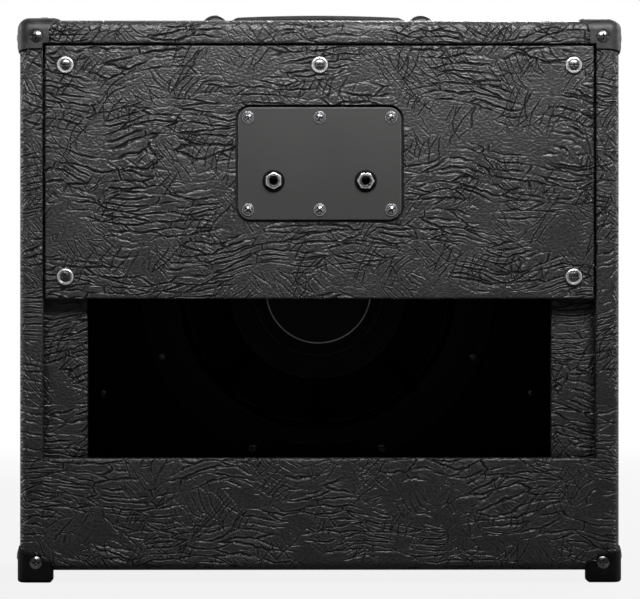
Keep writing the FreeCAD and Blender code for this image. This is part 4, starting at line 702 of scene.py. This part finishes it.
def braided_lead(name, side):
    """Slack lead from a terminal, down through the basket's window, to the back of the cone."""
    route = [(0.0074, 0.043, 0.3471), (0.0134, 0.043, 0.3471), (0.018, 0.0342, 0.334),
             (0.018, 0.0342, 0.3205), (0.015, 0.0368, 0.3072), (0.011, 0.0454, 0.294)]
    braid_radius = 0.0006
    line = bpy.data.curves.new("lead_line", "CURVE")
    line.dimensions = "3D"
    line.bevel_depth = braid_radius
    line.bevel_resolution = 3
    line.use_fill_caps = True
    spline = line.splines.new("NURBS")
    spline.points.add(len(route) - 1)
    for point, (x, y, z) in zip(spline.points, route):
        point.co = (side * x, y, z, 1)
    spline.order_u = 3
    spline.use_endpoint_u = True
    spline.resolution_u = 10
    drawn = bpy.data.objects.new("lead_line", line)
    lead = bpy.data.objects.new("flexible_lead_" + name, bpy.data.meshes.new_from_object(drawn))
    bpy.data.objects.remove(drawn)
    bpy.context.scene.collection.objects.link(lead)
    lead.data.materials.append(copper)
    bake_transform(lead)
    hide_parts("flexible_leads")


braided_lead("left", -1)
braided_lead("right", 1)


# Studio: a pale floor, white surroundings, a softbox high behind the cabinet and softer ones round it.
# The camera stands where the photograph was taken from, a little to the left of the cabinet's middle.

world = bpy.data.worlds.new("studio")
world.use_nodes = True
bpy.context.scene.world = world
tree = world.node_tree
tree.nodes.clear()
path = shade(tree, "LightPath").outputs
toward = shade(tree, "SeparateXYZ", {0: shade(tree, "TexCoord").outputs["Generated"]}).outputs
white = (1.0, 1.0, 1.0, 1)
dim_wall = (0.07, 0.07, 0.07, 1)
ambient = (0.07, 0.07, 0.072, 1)
room = mixed(tree, eased(tree, toward["Y"], 0.1, 0.8), dim_wall, white)
mirrored = maths(tree, "MAXIMUM", path["Is Glossy Ray"], path["Is Transmission Ray"])
unseen = mixed(tree, mirrored, ambient, room)
sky = shade(tree, "Background", {"Color": mixed(tree, path["Is Camera Ray"], unseen, white)})
shade(tree, "OutputWorld", {"Surface": sky.outputs[0]})


def softbox(name, place, target, size, watts, spread=180.0):
    """Rectangular area lamp that faces a target, with its beam's spread in degrees."""
    lamp = bpy.data.lights.new(name, "AREA")
    lamp.shape = "RECTANGLE"
    lamp.size, lamp.size_y = size
    lamp.energy = watts
    lamp.spread = math.radians(spread)
    made = bpy.data.objects.new(name, lamp)
    made.location = place
    made.rotation_euler = (Vector(target) - Vector(place)).to_track_quat("-Z", "Y").to_euler()
    bpy.context.scene.collection.objects.link(made)


softbox("key_softbox", place=(0.06, -0.56, 0.78), target=(0.0, -0.12, 0.42), size=(0.8, 0.22), watts=2.85,
        spread=90.0)
softbox("front_softbox", place=(0.7, 1.7, 1.5), target=(0.0, 0.1, 0.24), size=(1.2, 0.9), watts=60.0)
softbox("left_softbox", place=(-1.8, 0.3, 0.9), target=(-0.2, 0.0, 0.24), size=(0.8, 0.8), watts=16.0)
softbox("right_softbox", place=(1.8, 0.3, 0.9), target=(0.2, 0.0, 0.24), size=(0.8, 0.8), watts=16.0)

floor_size = 40.0
floor_mesh = bpy.data.meshes.new("studio_floor")
reach = floor_size / 2
floor_mesh.from_pydata([(-reach, -reach, 0), (reach, -reach, 0), (reach, reach, 0), (-reach, reach, 0)], [],
                       [(0, 1, 2, 3)])
floor = bpy.data.objects.new("studio_floor", floor_mesh)
bpy.context.scene.collection.objects.link(floor)
paper, tree, shader = surface("studio_paper", Base_Color=(0.2, 0.2, 0.2, 1), Roughness=0.9,
                              Specular_IOR_Level=0.1)
path = shade(tree, "LightPath").outputs
place = shade(tree, "TexCoord").outputs["Object"]
away = shade(tree, "VectorMath", {0: place}, operation="LENGTH").outputs["Value"]
near_glow = 0.86
seen = maths(tree, "MULTIPLY", path["Is Camera Ray"], eased(tree, away, 1.2, 3.5, near_glow, 1.0))
mirrored = maths(tree, "MAXIMUM", path["Is Glossy Ray"], path["Is Transmission Ray"])
share = maths(tree, "MAXIMUM", seen, maths(tree, "MULTIPLY", mirrored, eased(tree, away, 2.5, 6.0)))
glow = shade(tree, "Emission", {"Color": white})
lit = shade(tree, "MixShader", {0: share, 1: shader.outputs[0], 2: glow.outputs[0]})
tree.links.new(lit.outputs[0], tree.nodes["Material Output"].inputs["Surface"])
floor_mesh.materials.append(paper)

photo_width = 0.5302
sensor = 36.0
camera_place = Vector((-0.0375, -3.727, 0.235))
camera_target = Vector((0.00025, -0.127, 0.2345))
lens = bpy.data.cameras.new("photo_camera")
lens.sensor_width = sensor
lens.lens = sensor * (camera_target - camera_place).length / photo_width
lens.clip_end = 100.0
camera = bpy.data.objects.new("photo_camera", lens)
camera.location = camera_place
camera.rotation_euler = (camera_target - camera_place).to_track_quat("-Z", "Y").to_euler()
bpy.context.scene.collection.objects.link(camera)
bpy.context.scene.camera = camera
bpy.context.scene.view_settings.view_transform = "Standard"
